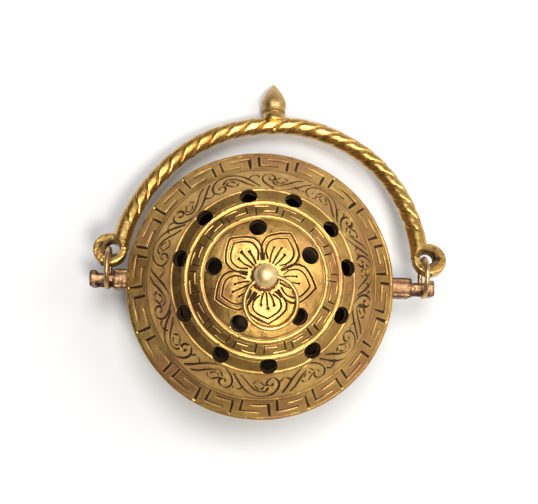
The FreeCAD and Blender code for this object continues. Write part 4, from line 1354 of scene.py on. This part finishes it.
cup_floor = BASE_Z + 1.7
cup_line = rounded([(0.02, cup_floor + 0.02), (CUP_BASE_R, cup_floor + 0.02), (34, cup_floor + 7),
                    (36.5, 23.8), (CUP_LIP_R - 0.03, 23.8),
                    (CUP_LIP_R - 0.03, CUP_LIP_Z - 0.03), (35.2, CUP_LIP_Z - 0.03),
                    (32.7, cup_floor + 8), (CUP_BASE_R - 0.5, cup_floor + 1.3),
                    (0.02, cup_floor + 1.3)], 0.5, 4)
cup = turned_piece("ember_cup_pan", cup_line, 300, 171, ((cup_floor + 1.3, 9.0),), 0.8)
cup_points = points_of(cup)
cup_far = np.hypot(cup_points[:, 0], cup_points[:, 1])
ash = smooth01((20 - cup_far) / 9) * (cup_points[:, 2] < cup_floor + 4)
store(cup.data, "grime_and_shade", np.clip(0.35 + 0.6 * ash + 0.3 * ripple(cup_points, 6, 175), 0, 1))
finished(cup, "censer_bowl", "cup_brass", cup_metal, "ember_cup")


# ---------------------------------------------------------------- floor, light and camera
def plain(name, colour, rough):
    material, _, shader = nodes_for(name)
    shader.inputs["Base Color"].default_value = (*colour, 1.0)
    shader.inputs["Roughness"].default_value = rough
    shader.inputs["Specular IOR Level"].default_value = 0.1
    return material


FLOOR_HALF = 3.0
floor_mesh = bpy.data.meshes.new("floor")
floor_corners = [(sx * FLOOR_HALF, sy * FLOOR_HALF, 0) for sx, sy in ((-1, -1), (1, -1), (1, 1), (-1, 1))]
floor_mesh.from_pydata(floor_corners, [], [(0, 1, 2, 3)])
floor = bpy.data.objects.new("floor", floor_mesh)
bpy.context.scene.collection.objects.link(floor)
floor_mesh.materials.append(plain("white_sweep", (0.70, 0.70, 0.70), 0.9))


def lamp(name, azimuth, elevation, distance, size, power, colour=(1, 1, 1)):
    """A soft round light aimed at the lid; azimuth is its side of the object, counter-clockwise from +X."""
    data = bpy.data.lights.new(name, "AREA")
    data.shape = "DISK"
    data.size = size
    data.energy = power
    data.color = colour
    obj = bpy.data.objects.new(name, data)
    a, e = math.radians(azimuth), math.radians(elevation)
    way = Vector((math.cos(a) * math.cos(e), math.sin(a) * math.cos(e), math.sin(e)))
    target = Vector((0, 0.01, 0.035))
    obj.location = target + way * distance
    obj.rotation_mode = "QUATERNION"
    obj.rotation_quaternion = way.to_track_quat("Z", "Y")
    bpy.context.scene.collection.objects.link(obj)
    return obj


lamp("overhead", 95, 74, 1.1, 0.55, 8.5)
lamp("key", -62, 70, 1.1, 0.26, 7.0, (1.0, 0.97, 0.92))
lamp("right", 20, 48, 1.2, 0.5, 3.0)

world = bpy.data.worlds.new("studio")
bpy.context.scene.world = world
world.use_nodes = True
background = world.node_tree.nodes["Background"]
background.inputs["Strength"].default_value = 0.62
sky_way = world.node_tree.nodes.new("ShaderNodeTexCoord").outputs["Generated"]
sky_axes = world.node_tree.nodes.new("ShaderNodeSeparateXYZ")
world.node_tree.links.new(sky_way, sky_axes.inputs["Vector"])
sky_side = span(world.node_tree, sky_axes.outputs["X"], -0.75, 0.80, 0.07, 0.90)
world.node_tree.links.new(mix_colour(world.node_tree, sky_side, (0.02, 0.018, 0.016), (1.0, 1.0, 1.0)),
                          background.inputs["Color"])

CAMERA_AT = np.array([-18.843, -34.585, 427.455])
CAMERA_FORWARD = np.array([0.05119262, 0.11519958, -0.99202236])
CAMERA_UP = np.array([-0.03304418, 0.99297631, 0.11360514])
LENS = 71.26
camera_data = bpy.data.cameras.new("camera")
camera_data.lens = LENS
camera_data.sensor_width = 36.0
camera_data.clip_start = 0.01
camera_data.clip_end = 20.0
camera = bpy.data.objects.new("camera", camera_data)
bpy.context.scene.collection.objects.link(camera)
right = np.cross(CAMERA_FORWARD, CAMERA_UP)
camera_rows = [[right[i], CAMERA_UP[i], -CAMERA_FORWARD[i], CAMERA_AT[i] * MM] for i in range(3)]
camera.matrix_world = Matrix(camera_rows + [[0, 0, 0, 1]])
bpy.context.scene.camera = camera
bpy.context.scene.view_settings.view_transform = "Standard"
